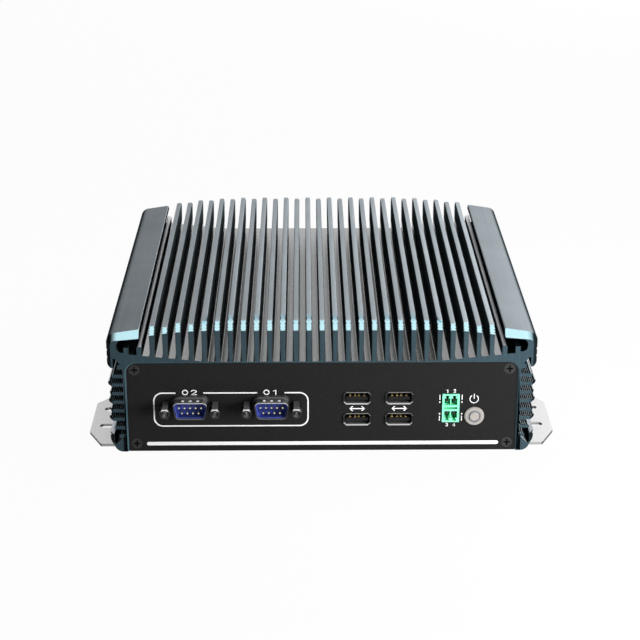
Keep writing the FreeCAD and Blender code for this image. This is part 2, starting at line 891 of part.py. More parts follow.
def host_tongue(x, z):
    """Tongue on a carrier block that closes the back of the shell."""
    gap = 2 * insert_clearance
    carrier = prism(rectangle(x, z, host_opening_width - gap, host_opening_height - gap),
                    panel_face + host_carrier_depth, port_board_face)
    half = host_tongue_width / 2
    tongue = box(x - half, x + half, panel_face + host_tongue_recess, panel_face + host_carrier_depth,
                 z + host_tongue_top - host_tongue_thickness, z + host_tongue_top)
    return carrier.fuse(tongue).removeSplitter()


def host_contacts(x, z):
    """Four contact strips on the tongue."""
    half = host_contact_width / 2
    low = z + host_tongue_top
    start, end = [panel_face + depth for depth in host_contact_depths]
    return [box(x + shift - half, x + shift + half, start, end, low, low + host_contact_thickness)
            for shift in host_contact_offsets]


# Terminal block

def terminal_ways():
    """Centres of the four ways: sideways offset and whether the way is above or below the middle."""
    return [(side * way_offset, level) for level in (1, -1) for side in (-1, 1)]


def terminal_block():
    """Block with two decks of two keyed cavities, a set-back divider in each deck and a slot between the decks."""
    x, z = terminal_centre, terminal_height
    front = panel_face - terminal_reach
    block = prism(rectangle(x, z, terminal_width, terminal_tall), front, port_board_face)
    middle_slot = rectangle(x, z, middle_slot_width, 2 * middle_slot_half)
    cuts = [prism(middle_slot, front - beyond, front + middle_slot_depth)]
    for level in (1, -1):
        middle = z + level * (way_inner + way_outer) / 2
        divider = rectangle(x, middle, 2 * way_offset, way_outer - way_inner)
        cuts.append(prism(divider, front - beyond, front + divider_set_back))
    for shift, level in terminal_ways():
        cx = x + shift
        half_widths = [(way_half_width, way_inner), (way_half_width, way_outer),
                       (key_half_width, way_outer), (key_top_half_width, key_top)]
        corners = [(cx + half, z + level * rise) for half, rise in half_widths]
        corners += [(cx - half, z + level * rise) for half, rise in reversed(half_widths)]
        cuts.append(prism(corners, front - beyond, panel_face + way_depth))
    return block.cut(cuts)


def terminal_pins():
    middle = (way_inner + way_outer) / 2
    pins = []
    for shift, level in terminal_ways():
        x, z = terminal_centre + shift, terminal_height + level * middle
        corners = rectangle(x, z, terminal_pin, terminal_pin)
        pins.append(prism(corners, panel_face + terminal_pin_front, panel_face + way_depth))
    return pins


# Power button, made along +Z with the panel's face at zero

def at_button(shape):
    return placed(shape, button_centre, panel_face, button_height, inwards)


def cylinder(diameter, z0, z1):
    return Part.makeCylinder(diameter / 2, z1 - z0, Vector(0, 0, z0))


def button_bezel():
    """Bezel on the panel and a barrel through it, bored for the cap and counterbored for the ring."""
    rim = cylinder(bezel_diameter, -bezel_reach + bezel_chamfer, 0)
    radius = bezel_diameter / 2
    edge = Part.makeCone(radius - bezel_chamfer, radius, bezel_chamfer, Vector(0, 0, -bezel_reach))
    barrel = cylinder(barrel_diameter, 0, barrel_length)
    bore = cylinder(barrel_bore, -bezel_reach - beyond, barrel_length + beyond)
    seat = cylinder(ring_diameter + 2 * ring_clearance, -bezel_reach - beyond, ring_depth - bezel_reach)
    return at_button(rim.fuse([edge, barrel]).cut([bore, seat]).removeSplitter())


def button_ring():
    outer = cylinder(ring_diameter, -bezel_reach, ring_depth - bezel_reach)
    return at_button(outer.cut(cylinder(barrel_bore, -bezel_reach - beyond, ring_depth)))


def button_cap():
    """Cap with a domed edge and a stem that runs into the switch housing."""
    front = -bezel_reach - cap_dome
    dome = Part.makeCone(cap_diameter / 2 - cap_dome, cap_diameter / 2, cap_dome, Vector(0, 0, front))
    head = cylinder(cap_diameter, -bezel_reach, front + cap_length)
    stem = cylinder(stem_diameter, front + cap_length, barrel_length + cap_travel)
    return at_button(dome.fuse([head, stem]).removeSplitter())


def button_spring():
    """Coil round the stem, between the cap and the switch housing."""
    start = -bezel_reach - cap_dome + cap_length + spring_end_gap + spring_wire / 2
    end = barrel_length - spring_end_gap - spring_wire / 2
    radius = stem_diameter / 2 + spring_clearance + spring_wire / 2
    path = Part.makeHelix((end - start) / spring_turns, end - start, radius)
    section = Part.Wire(Part.makeCircle(spring_wire / 2, Vector(radius, 0, 0), inwards))
    coil = Part.Wire(path).makePipeShell([section], True, True)
    coil.translate(Vector(0, 0, start))
    return at_button(coil)


def button_nut():
    back = panel_thickness + nut_thickness
    body = hexagon_prism(nut_flats, panel_thickness, back)
    bore = cylinder(barrel_diameter + 2 * nut_clearance, panel_thickness - beyond, back + beyond)
    return at_button(body.cut(bore))


def button_housing():
    """Switch housing on the end of the barrel, bored for the stem over its whole travel."""
    body = cylinder(housing_diameter, barrel_length, barrel_length + housing_length)
    reach = barrel_length + 2 * cap_travel + stem_clearance
    bore = cylinder(stem_diameter + 2 * stem_clearance, barrel_length - beyond, reach)
    return at_button(body.cut(bore))


# Boards and inner pieces

def standoff_places():
    """Plan places of the main board's six standoffs."""
    reach = board_half - standoff_inset
    front, rear = board_front + standoff_inset, board_rear - standoff_inset
    return [(side * reach, y) for side in (-1, 1) for y in (front, (front + rear) / 2, rear)]


def main_board():
    sheet = box(-board_half, board_half, board_front, board_rear, board_bottom, board_top)
    hole = screw_thread + 2 * screw_clearance
    low, high = board_bottom - beyond, board_top + beyond
    return sheet.cut([rod_z(x, y, hole, low, high) for x, y in standoff_places()])


def board_standoffs():
    """Round standoffs between the bottom plate and the main board, tapped at the top."""
    hole = screw_thread + 2 * screw_clearance
    low = board_top - board_screw_length - screw_clearance
    return [rod_z(x, y, standoff_diameter, plate_thickness, board_bottom)
            .cut(rod_z(x, y, hole, low, board_bottom + beyond)) for x, y in standoff_places()]


def board_screws():
    screws = []
    for x, y in standoff_places():
        head = rod_z(x, y, board_screw_head, board_top, board_top + board_screw_head_height)
        shank = rod_z(x, y, screw_thread, board_top - board_screw_length, board_top)
        screws.append(head.fuse(shank).removeSplitter())
    return screws


def front_port_board():
    low, high = foot_top + port_board_gap, ceiling - boss_height - port_board_gap
    return box(port_board_left, port_board_right, port_board_face, port_board_back, low, high)


def board_link_header():
    """Header block that joins the port board to the main board."""
    half = link_width / 2
    return box(-half, half, port_board_back, board_front + link_overlap, board_top, board_top + link_height)


def centred_square(size, low, high):
    return box(-size / 2, size / 2, -size / 2, size / 2, low, high)


def memory_socket():
    """Socket block with a slot for the module, and two arms with ledges that carry its far end."""
    back, front = memory_x - memory_socket_width / 2, memory_x + memory_socket_width / 2
    far = front - memory_grip + memory_width
    half = memory_length / 2 + memory_clearance
    wide = half + memory_arm_width
    under = board_top + memory_lift
    block = box(back, front, -wide, wide, board_top, board_top + memory_socket_height)
    slot = box(front - memory_grip - memory_clearance, front + beyond, -half, half,
               under - memory_clearance, under + memory_thickness + memory_clearance)
    parts = []
    for side in (-1, 1):
        y0, y1 = sorted((side * half, side * wide))
        parts.append(box(front, far, y0, y1, board_top, under + memory_thickness))
        y0, y1 = sorted((side * (half - memory_ledge), side * wide))
        parts.append(box(far - memory_ledge, far, y0, y1, board_top, under))
    return block.cut(slot).fuse(parts).removeSplitter()


def memory_module():
    """Module held in the socket, with its chips along the middle."""
    start = memory_x + memory_socket_width / 2 - memory_grip
    low = board_top + memory_lift
    top, end = low + memory_thickness, memory_length / 2
    module = box(start, start + memory_width, -end, end, low, top)
    chips = []
    pitch = memory_length / memory_chip_count
    chip_x = start + memory_width / 2
    half = memory_chip_size / 2
    for i in range(memory_chip_count):
        y = (i - (memory_chip_count - 1) / 2) * pitch
        chips.append(box(chip_x - half, chip_x + half, y - half, y + half, top, top + memory_chip_thickness))
    return module.fuse(chips).removeSplitter()


def storage_drive():
    half = drive_width / 2
    case = box(-half, half, drive_y - drive_length / 2, drive_y + drive_length / 2,
               plate_thickness, plate_thickness + drive_thickness)
    hole = pilot_hole(drive_screw_length)
    return case.cut([placed(hole, x, y, 0, up) for x, y in drive_screw_places()])


def coin_cell_holder():
    inside = cell_diameter + 2 * cell_clearance
    top = board_top + holder_floor + cell_thickness
    cup = rod_z(cell_x, cell_y, inside + 2 * holder_wall, board_top, top)
    return cup.cut(rod_z(cell_x, cell_y, inside, board_top + holder_floor, top + beyond))


def coin_cell():
    low = board_top + holder_floor
    return rod_z(cell_x, cell_y, cell_diameter, low, low + cell_thickness)


# Rear ports, made as seen from behind and turned to their places

def network_shell(x):
    """Shielded shell, open at the mouth, standing on the main board."""
    mouth = panel_face - network_reach
    middle = board_top + network_tall / 2
    outer = prism(rectangle(x, middle, network_width, network_tall), mouth, mouth + network_length)
    wall = 2 * network_wall
    hollow = prism(rectangle(x, middle, network_width - wall, network_tall - wall),
                   mouth - beyond, mouth + network_length - network_wall)
    return turned_to_rear(outer.cut(hollow))


def network_insert(x):
    """Moulded insert with the jack's socket and its latch notch."""
    mouth = panel_face - network_reach
    middle = board_top + network_tall / 2
    less = 2 * (network_wall + network_insert_clearance)
    block = prism(rectangle(x, middle, network_width - less, network_tall - less),
                  mouth, mouth + network_length - network_wall)
    low = board_top + jack_rise
    half, notch = jack_width / 2, jack_latch_width / 2
    high = low + jack_tall
    latch = high + jack_latch_tall
    socket = prism([(x - half, low), (x + half, low), (x + half, high), (x + notch, high), (x + notch, latch),
                    (x - notch, latch), (x - notch, high), (x - half, high)],
                   mouth - beyond, mouth + jack_depth)
    return turned_to_rear(block.cut(socket))


def inlet_body():
    """Power inlet with a round nose through the panel."""
    axis = board_top + inlet_axis
    half = inlet_width / 2
    mouth, back = panel_face - inlet_reach, panel_face + inlet_length
    block = box(inlet_centre - half, inlet_centre + half, panel_seat + plate_clearance, back,
                board_top, board_top + inlet_tall)
    nose = rod_y(inlet_centre, axis, inlet_nose, mouth, back)
    bore = rod_y(inlet_centre, axis, inlet_bore, mouth - beyond, panel_face + inlet_bore_depth)
    return turned_to_rear(block.fuse(nose).cut(bore).removeSplitter())


def inlet_centre_pin():
    axis, front = board_top + inlet_axis, panel_face + inlet_reach
    return turned_to_rear(rod_y(inlet_centre, axis, inlet_pin, front, panel_face + inlet_bore_depth))


def save_casing():
    save("body_extrusion", body_extrusion())
    save("front_panel", front_panel())
    save("rear_panel", rear_panel())
    save("bottom_plate", bottom_plate())
    screw = countersunk_screw(panel_screw_length)
    front_screws = [placed(screw, x, panel_face, z, inwards) for x, z in panel_screw_places()]
    save("front_panel_screws", front_screws)
    save("rear_panel_screws", [turned_to_rear(piece) for piece in front_screws])
    screw = countersunk_screw(plate_screw_length)
    save("bottom_plate_screws", [placed(screw, x, y, 0, up) for x, y in plate_screw_places()])
    screw = countersunk_screw(plate_screw_length + ear_thickness)
    save("ear_screws", [placed(screw, x, y, -ear_thickness, up) for x, y in ear_screw_places()])
    screw = countersunk_screw(drive_screw_length)
    save("drive_screws", [placed(screw, x, y, 0, up) for x, y in drive_screw_places()])
    right = front_right_ear()
    left = mirrored(right)
    save("front_right_ear", right)
    save("front_left_ear", left)
    save("rear_left_ear", turned_to_rear(right))
    save("rear_right_ear", turned_to_rear(left))


def save_front_ports():
    for number, x in enumerate(serial_centres, 1):
        save("serial_port_%d_shell" % number, connector_shell(x))
        save("serial_port_%d_insert" % number, connector_insert(x, insert_face_reach, True))
        save("serial_port_%d_pins" % number, serial_pins(x))
    save("front_jackscrews", jackscrews(serial_centres[0]) + jackscrews(serial_centres[1]))
    contacts = []
    places = [(x, z) for z in reversed(host_rows) for x in host_columns]
    for number, (x, z) in enumerate(places, 1):
        save("host_port_%d_shell" % number, host_shell(x, z))
        save("host_port_%d_tongue" % number, host_tongue(x, z))
        contacts += host_contacts(x, z)
    save("host_port_contacts", contacts)
    save("terminal_block", terminal_block())
    save("terminal_pins", terminal_pins())


def save_power_button():
    save("power_button_bezel", button_bezel())
    save("power_button_ring", button_ring())
    save("power_button_cap", button_cap())
    save("power_button_spring", button_spring())
    save("power_button_nut", button_nut())
    save("power_button_housing", button_housing())


def save_boards():
    save("main_board", main_board())
    save("board_standoffs", board_standoffs())
    save("board_screws", board_screws())
    save("front_port_board", front_port_board())
    save("board_link_header", board_link_header())
    pad_low = board_top + processor_thickness
    pad_high = pad_low + thermal_pad_thickness
    save("processor", centred_square(processor_size, board_top, pad_low))
    save("thermal_pad", centred_square(processor_size, pad_low, pad_high))
    save("heat_spreader_block", centred_square(spreader_size, pad_high, ceiling))
    save("memory_socket", memory_socket())
    save("memory_module", memory_module())
    save("storage_drive", storage_drive())
    save("coin_cell_holder", coin_cell_holder())
    save("coin_cell", coin_cell())


def save_rear_ports():
    save("video_port_shell", turned_to_rear(connector_shell(video_centre)))
    save("video_port_insert", turned_to_rear(video_insert(video_centre)))
    save("rear_jackscrews", [turned_to_rear(piece) for piece in jackscrews(video_centre)])
    for number, x in enumerate(network_centres, 1):
        save("network_port_%d_shell" % number, network_shell(x))
        save("network_port_%d_insert" % number, network_insert(x))
    save("power_inlet_body", inlet_body())
    save("power_inlet_pin", inlet_centre_pin())


save_casing()
save_front_ports()
save_power_button()
save_boards()
save_rear_ports()
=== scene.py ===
"""Looks of a fanless industrial computer: finishes, fine detail, printed marks, studio and camera."""
import json
import math

import bmesh
import bpy
import numpy as np
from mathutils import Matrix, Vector
from mathutils.geometry import delaunay_2d_cdt


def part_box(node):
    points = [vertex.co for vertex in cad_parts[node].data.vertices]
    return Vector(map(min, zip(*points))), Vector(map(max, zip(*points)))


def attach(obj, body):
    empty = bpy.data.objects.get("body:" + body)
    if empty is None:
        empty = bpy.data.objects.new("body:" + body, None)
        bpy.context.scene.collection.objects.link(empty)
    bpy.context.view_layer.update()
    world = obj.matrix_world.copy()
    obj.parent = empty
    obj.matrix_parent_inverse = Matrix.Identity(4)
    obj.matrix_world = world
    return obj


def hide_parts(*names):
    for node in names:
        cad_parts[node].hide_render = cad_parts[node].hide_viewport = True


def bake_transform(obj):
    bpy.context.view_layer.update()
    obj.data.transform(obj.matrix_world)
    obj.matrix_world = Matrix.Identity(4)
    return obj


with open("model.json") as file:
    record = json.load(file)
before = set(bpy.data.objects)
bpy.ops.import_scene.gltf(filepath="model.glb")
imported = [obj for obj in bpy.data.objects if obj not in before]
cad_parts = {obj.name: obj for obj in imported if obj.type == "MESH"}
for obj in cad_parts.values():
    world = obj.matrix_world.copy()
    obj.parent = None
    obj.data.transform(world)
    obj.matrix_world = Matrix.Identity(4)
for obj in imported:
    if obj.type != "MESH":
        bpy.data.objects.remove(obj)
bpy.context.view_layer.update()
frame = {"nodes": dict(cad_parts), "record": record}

nodes = frame["nodes"]
mm = 0.001

# Sizes shared by finishes and meshes
fin_field = 85.68
wing_start = 91.14
crown_roll_half = 58.0
shoulder_start = 102.8
thread_pitch = 0.7
plate_clearance = 0.2

# Levels below the fins' floors, between floors and fin tops, below the wings' tops, and round the side ribs
fin_foot = 50.0
fin_middle = 57.0
wing_low = 62.0
rib_low = 9.0
rib_high = 45.0

# Camera of the photograph: where it stands, how far it looks down and to the right, and its lens
camera_place = (-8.87, -881.35, 379.58)
camera_down = math.radians(21.538)
camera_right = math.radians(0.575)
camera_lens = 95.0
camera_sensor = 36.0


def node_box(node):
    """Lowest and highest corner of a node at rest, in millimetres."""
    low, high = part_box(node)
    return np.array(low) / mm, np.array(high) / mm


# Places taken from the solids
body_low, body_high = node_box("body_extrusion")
panel_low, panel_high = node_box("front_panel")
foot_half = node_box("bottom_plate")[1][0] + plate_clearance
underside = body_low[2]
body_half = body_high[0]
body_end = body_low[1]
panel_face = panel_low[1]
panel_back = panel_high[1]


# Shader helpers

class Link:
    """A socket of a node tree; arithmetic on it adds Math nodes."""

    def __init__(self, finish, socket):
        self.finish = finish
        self.socket = socket

    def math(self, operation, first, second=0.0, clamp=False):
        settings = {"operation": operation, "use_clamp": clamp}
        return self.finish.node("ShaderNodeMath", settings, {0: first, 1: second})

    def __add__(self, other):
        return self.math("ADD", self, other)

    __radd__ = __add__

    def __mul__(self, other):
        return self.math("MULTIPLY", self, other)

    __rmul__ = __mul__

    def __sub__(self, other):
        return self.math("SUBTRACT", self, other)

    def __rsub__(self, other):
        return self.math("SUBTRACT", other, self)

    def __lt__(self, other):
        return self.math("LESS_THAN", self, other)

    def absolute(self):
        return self.math("ABSOLUTE", self)

    def sine(self):
        return self.math("SINE", self)

    def between(self, low, high):
        """Share of the way from low to high, held to 0 and 1."""
        return self.math("MULTIPLY", self - low, 1 / (high - low), clamp=True)


class Finish:
    """A surface finish: one Principled shader, its uniform values and the nodes that vary it."""

    def __init__(self, name, **values):
        self.material = bpy.data.materials.new(name)
        self.material.use_nodes = True
        self.tree = self.material.node_tree
        self.shader = self.tree.nodes["Principled BSDF"]
        for key, value in values.items():
            self.shader.inputs[key.replace("_", " ")].default_value = value
        self.place = self.node("ShaderNodeTexCoord", {}, {}, "Object")

    def node(self, kind, settings, inputs, output=0):
        """Any node: its type, its settings, and the values or links of its sockets."""
        made = self.tree.nodes.new(kind)
        for key, value in settings.items():
            setattr(made, key, value)
        for key, value in inputs.items():
            if isinstance(value, Link):
                self.tree.links.new(value.socket, made.inputs[key])
            else:
                made.inputs[key].default_value = value
        return Link(self, made.outputs[output])

    def feed(self, **links):
        for key, link in links.items():
            self.tree.links.new(link.socket, self.shader.inputs[key.replace("_", " ")])

    def axes(self):
        """Object coordinates in millimetres: X, Y and Z."""
        return [self.node("ShaderNodeSeparateXYZ", {}, {0: self.place}, axis) * (1 / mm) for axis in "XYZ"]

    def noise(self, scale, detail=3.0, stretch=(1, 1, 1)):
        """Fractal noise in object space, scale in patches per metre along each axis."""
        place = self.node("ShaderNodeMapping", {}, {"Vector": self.place, "Scale": stretch})
        inputs = {"Vector": place, "Scale": scale, "Detail": detail}
        return self.node("ShaderNodeTexNoise", {}, inputs, "Fac")

    def ramp(self, value, dark, pale, low=0.3, high=0.7):
        """Colour from dark to pale as a value goes from low to high."""
        made = self.node("ShaderNodeValToRGB", {}, {"Fac": value})
        first, last = made.socket.node.color_ramp.elements
        first.position, first.color = low, dark
        last.position, last.color = high, pale
        return made

    def mix(self, share, first, second):
        """Colour between two colours."""
        return self.node("ShaderNodeMix", {"data_type": "RGBA"}, {"Factor": share, 6: first, 7: second}, 2)

    def bump(self, height, strength, distance=0.0001):
        inputs = {"Height": height, "Strength": strength, "Distance": distance}
        return self.node("ShaderNodeBump", {}, inputs)

    def facing(self, axis):
        """How far the surface faces along an axis, from -1 to 1."""
        normal = self.node("ShaderNodeNewGeometry", {}, {}, "Normal")
        return self.node("ShaderNodeSeparateXYZ", {}, {0: normal}, axis)


def grey(value):
    return (value, value, value, 1.0)


def tint(red, green, blue):
    return (red, green, blue, 1.0)


def scaled(colour, factor):
    return tuple(factor * value for value in colour[:3]) + (1.0,)


# Finishes

top_colour = tint(0.325, 0.362, 0.388)
# Paler copy of the anodise for the fin tops: painted light
fin_top_lit_colour = tint(0.455, 0.507, 0.543)
# Very dark copy of the anodise for grooves, slots and the part of the short ribs under the wings: painted
# shade
groove_shade_colour = tint(0.014, 0.021, 0.025)
# Dark copy of the anodise for the fin sides: painted shade
fin_side_shade_colour = tint(0.045, 0.056, 0.062)
# Pale neutral copy of the anodise for the floors between the fins, where little light falls: painted light
floor_lit_colour = tint(0.42, 0.425, 0.43)
# End faces, the panel's mouth and the underside darker than the tops: partly the milled finish, partly
# painted shade; the mouth a little paler
end_shade_colour = tint(0.038, 0.063, 0.077)
mouth_shade_colour = tint(0.055, 0.096, 0.118)
# Paler copies of the anodise for the up-facing facets of the side ribs and for their tips: painted glints
ridge_glint_colour = tint(0.33, 0.38, 0.40)
tip_glint_colour = tint(0.50, 0.54, 0.57)
# Bevel colours: cut metal in a bright cyan painted highlight, and the painted shade it fades into on the
# middle fins
bevel_highlight_colour = tint(0.585, 0.90, 0.98)
roll_shade_colour = tint(0.30, 0.45, 0.53)
# Pale copy of the anodise for the open half of the short ribs' tops: painted light
rib_top_lit_colour = tint(0.80, 0.81, 0.82)

# How noise is stretched into lines: die lines of the extrusion, rolled or brushed lines along X or Y, and
# the scale, detail and stretch of the cutter marks on milled faces
die_lines = (1, 0.004, 1)
along_x = (1, 30, 30)
along_y = (30, 1, 30)
cutter_marks = (700, 2, (1, 1, 0.05))

# Where the fin sides are painted paler towards the rear end: painted light from behind
rear_light_zone = (55.0, 104.0)


def extruded():
    """Upper faces of the extrusion: die lines and a fine grain. The fins are painted paler than the wings
    as painted light, the shoulders carry painted shade where they turn to the side, and the eased edges are
    worn and carry a painted highlight."""
    finish = Finish("extruded_anodised_painted_light", Metallic=0.04, Roughness=0.36, Specular_IOR_Level=0.0)
    cloud = finish.noise(38, 3)
    lines = finish.noise(1500, 2, die_lines)
    grain = finish.noise(3200, 2)
    shade = 0.6 * cloud + 0.4 * lines
    side = finish.axes()[0].absolute()
    # Grain of the anodise, with the fin tops painted paler than the wings: painted light
    wing, fin = [finish.ramp(shade, scaled(colour, 0.90), scaled(colour, 1.08), 0.32, 0.68)
                 for colour in (top_colour, fin_top_lit_colour)]
    grain_and_fin_light = finish.mix(side < fin_field + 2, wing, fin)
    on_shoulder = side.between(shoulder_start - 2.0, shoulder_start)
    upward = finish.facing("Z")
    # Painted shade where the shoulders turn to the side, in the groove's dark colour
    shoulder_shade = on_shoulder * (1 - upward.between(0.78, 0.985))
    # Eased edges paler, partly wear and partly a painted highlight, strongest on the wings' inner edges
    wear_and_edge_highlight = (1 - on_shoulder) * (1 - upward.between(0.6, 0.97))
    on_wing = side.between(wing_start - 1.0, wing_start - 0.5)
    wear_and_highlight_colour = finish.mix(on_wing, scaled(fin_top_lit_colour, 1.15), scaled(top_colour, 2.3))
    edged = finish.mix(wear_and_edge_highlight, grain_and_fin_light, wear_and_highlight_colour)
    rough = 0.30 + 0.10 * grain + 0.06 * lines
    height = 0.6 * lines + 0.4 * grain
    finish.feed(Base_Color=finish.mix(shoulder_shade, edged, groove_shade_colour), Roughness=rough,
                Normal=finish.bump(height, 0.10, 0.0002))
    return finish


def anodised(name, colour, metallic=0.05, rough=0.4, relief=0.15, spread=0.15, rear=1.0,
             marks=(1100, 2, die_lines), share=0.6):
    """Anodised aluminium with die lines or cutter marks and a fine grain; share is the marks' part of the
    shading, and rear is how much paler the rear end is painted: a painted light from behind."""
    finish = Finish(name, Metallic=metallic, Roughness=rough, Specular_IOR_Level=0.0)
    lines = finish.noise(*marks)
    grain = finish.noise(2600, 2)
    shade = share * lines + (1 - share) * grain
    shade = finish.ramp(shade, scaled(colour, 1 - spread), scaled(colour, 1 + spread))
    # Rear end painted paler: painted light from behind
    if rear != 1:
        shade = finish.mix(finish.axes()[1].between(*rear_light_zone), shade, scaled(colour, rear))
    finish.feed(Base_Color=shade, Roughness=rough - 0.06 + 0.12 * grain,
                Normal=finish.bump(lines, relief, 0.0002))
    return finish


def bevel():
    """Bevels cut after anodising, in a painted highlight that fades through painted shade into the tops on
    the middle fins. Below the fins and past the turn of the shoulders they carry painted shade, but a
    painted glint in grey on the upper sides of the side ribs' tips."""
    finish = Finish("cut_bevel_highlight", Roughness=0.3, Specular_IOR_Level=0.0)
    marks = finish.noise(2400, 2, (1, 0.2, 0.2))
    bright = finish.ramp(marks, scaled(bevel_highlight_colour, 0.92), bevel_highlight_colour)
    x, y, z = finish.axes()
    side = x.absolute()
    from_end = -body_end - y.absolute()
    # Painted shade that fades the highlight into the tops on the middle fins
    roll_shade = from_end.between(4.0, 8.0) * (side < crown_roll_half)
    colour = finish.mix(roll_shade, bright, roll_shade_colour)
    # Only the upper bevels keep the painted highlight; the others get painted shade
    upper = z.between(fin_foot, fin_foot + 4.0)
    upper = upper * (1 - side.between(shoulder_start - 0.5, shoulder_start + 2.5))
    # Painted glint in grey on the upper sides of the side ribs' tips
    rib_tip = z.between(rib_low, rib_low + 2.0) * (1 - z.between(rib_high - 2.0, rib_high))
    rib_tip = rib_tip * side.between(body_half - 2.6, body_half - 2.0)
    rib_tip = rib_tip * (1 - side.between(body_half - 1.2, body_half - 0.7))
    rib_tip = rib_tip * finish.facing("Z").between(0.0, 0.4)
    lower = finish.mix(rib_tip, scaled(end_shade_colour, 0.12), grey(0.45))
    finish.feed(Base_Color=finish.mix(upper, lower, colour), Metallic=0.05 + 0.85 * upper + 0.4 * rib_tip,
                Roughness=0.24 + 0.12 * marks)
    return finish


def powder_coat():
    """Fine black powder coat of the port panels."""
    finish = Finish("black_powder_coat", Roughness=0.5, Specular_IOR_Level=0.05)
    grain = finish.noise(1800, 2)
    finish.feed(Base_Color=finish.ramp(grain, grey(0.012), grey(0.018)),
                Roughness=0.42 + 0.16 * grain, Normal=finish.bump(grain, 0.12))
    return finish


def steel(name, colour, dark, stretch, metallic=0.9):
    """Rolled or brushed steel with fine lines along one way."""
    finish = Finish(name, Metallic=metallic, Roughness=0.35)
    lines = finish.noise(90, 4, stretch)
    finish.feed(Base_Color=finish.ramp(lines, tint(*dark), tint(*colour)),
                Roughness=0.28 + 0.16 * lines, Normal=finish.bump(lines, 0.05))
    return finish


def plated(name, colour, rough, metallic=1.0):
    """Bright plating with a little cloudiness."""
    finish = Finish(name, Metallic=metallic, Roughness=rough)
    cloud = finish.noise(420, 3)
    finish.feed(Base_Color=finish.ramp(cloud, scaled(colour, 0.86), tint(*colour)),
                Roughness=rough - 0.05 + 0.10 * cloud)
    return finish


def lit_nickel(name, low, high, start=-0.2, end=0.75, metallic=0.7):
    """Nickel plate with painted light: painted bright on what faces up and painted dull on what faces
    ahead or the ground.
    """
    finish = Finish(name, Metallic=metallic, Roughness=0.25, Specular_IOR_Level=0.2)
    cloud = finish.noise(420, 3)
    shade = finish.mix(finish.facing("Z").between(start, end), grey(low), grey(high))
    finish.feed(Base_Color=shade, Roughness=0.18 + 0.14 * cloud)
    return finish


def ear():
    """Zinc-plated sheet with fine rolling lines; its sheared edges carry painted shade, darkest where they
    face to the side.
    """
    finish = Finish("ear_steel", Metallic=0.6, Roughness=0.35)
    lines = finish.noise(90, 4, along_x)
    sheet = finish.ramp(lines, grey(0.80), grey(0.87))
    # Painted shade on the edges, darker where they face to the side
    edge = finish.mix(finish.facing("X").absolute().between(0.2, 0.5), grey(0.40), grey(0.05))
    colour = finish.mix(finish.facing("Z").absolute().between(0.3, 0.8), edge, sheet)
    finish.feed(Base_Color=colour, Roughness=0.28 + 0.16 * lines, Normal=finish.bump(lines, 0.05))
    return finish


def threaded():
    """Bore of a jackscrew: thread crests one pitch apart along Y, raised by a bump, with painted highlights
    on the crests and painted shade in the roots.
    """
    finish = Finish("threaded_bore", Metallic=0.9, Roughness=0.2)
    crest = (finish.axes()[1] * (math.tau / thread_pitch)).sine().between(-1.0, 1.0)
    finish.feed(Base_Color=finish.ramp(crest, grey(0.10), grey(0.90), 0.2, 0.8),
                Normal=finish.bump(crest, 0.6, 0.0002))
    return finish


def black_screw():
    """Black oxide with a faintly worn, paler face; the cross recess of a panel screw is painted near black
    as painted shade.
    """
    finish = Finish("black_oxide", Roughness=0.4, Specular_IOR_Level=0.05)
    wear = finish.noise(900, 3)
    face = finish.ramp(wear, grey(0.030), grey(0.044), 0.35)
    recess_shade = (-panel_face - finish.axes()[1].absolute()).between(0.05, 0.25)
    finish.feed(Base_Color=finish.mix(recess_shade, face, grey(0.003)), Roughness=0.34 + 0.16 * wear)
    return finish


def ink():
    """White screen print, thin in places."""
    finish = Finish("white_ink", Roughness=0.6)
    wear = finish.noise(1400, 3)
    finish.feed(Base_Color=finish.ramp(wear, grey(0.88), grey(0.96), 0.25, 0.5))
    return finish


def moulded(name, colour, rough=0.42, spread=0.16):
    """Moulded plastic with a spark-eroded grain."""
    finish = Finish(name, Roughness=rough, Specular_IOR_Level=0.15)
    grain = finish.noise(2200, 2)
    cloud = finish.noise(300, 2)
    finish.feed(Base_Color=finish.ramp(cloud, scaled(colour, 1 - spread), tint(*colour)),
                Roughness=rough - 0.06 + 0.12 * grain, Normal=finish.bump(grain, 0.10))
    return finish


def board():
    """Solder mask over copper: fine darker tracks on a grid."""
    finish = Finish("solder_mask", Roughness=0.35)
    cells = finish.node("ShaderNodeTexVoronoi", {"distance": "MANHATTAN"},
                        {"Vector": finish.place, "Scale": 220.0}, "Distance")
    mask = finish.ramp(cells, tint(0.010, 0.070, 0.030), tint(0.016, 0.105, 0.045), 0.25, 0.5)
    finish.feed(Base_Color=mask, Normal=finish.bump(cells, 0.06))
    return finish


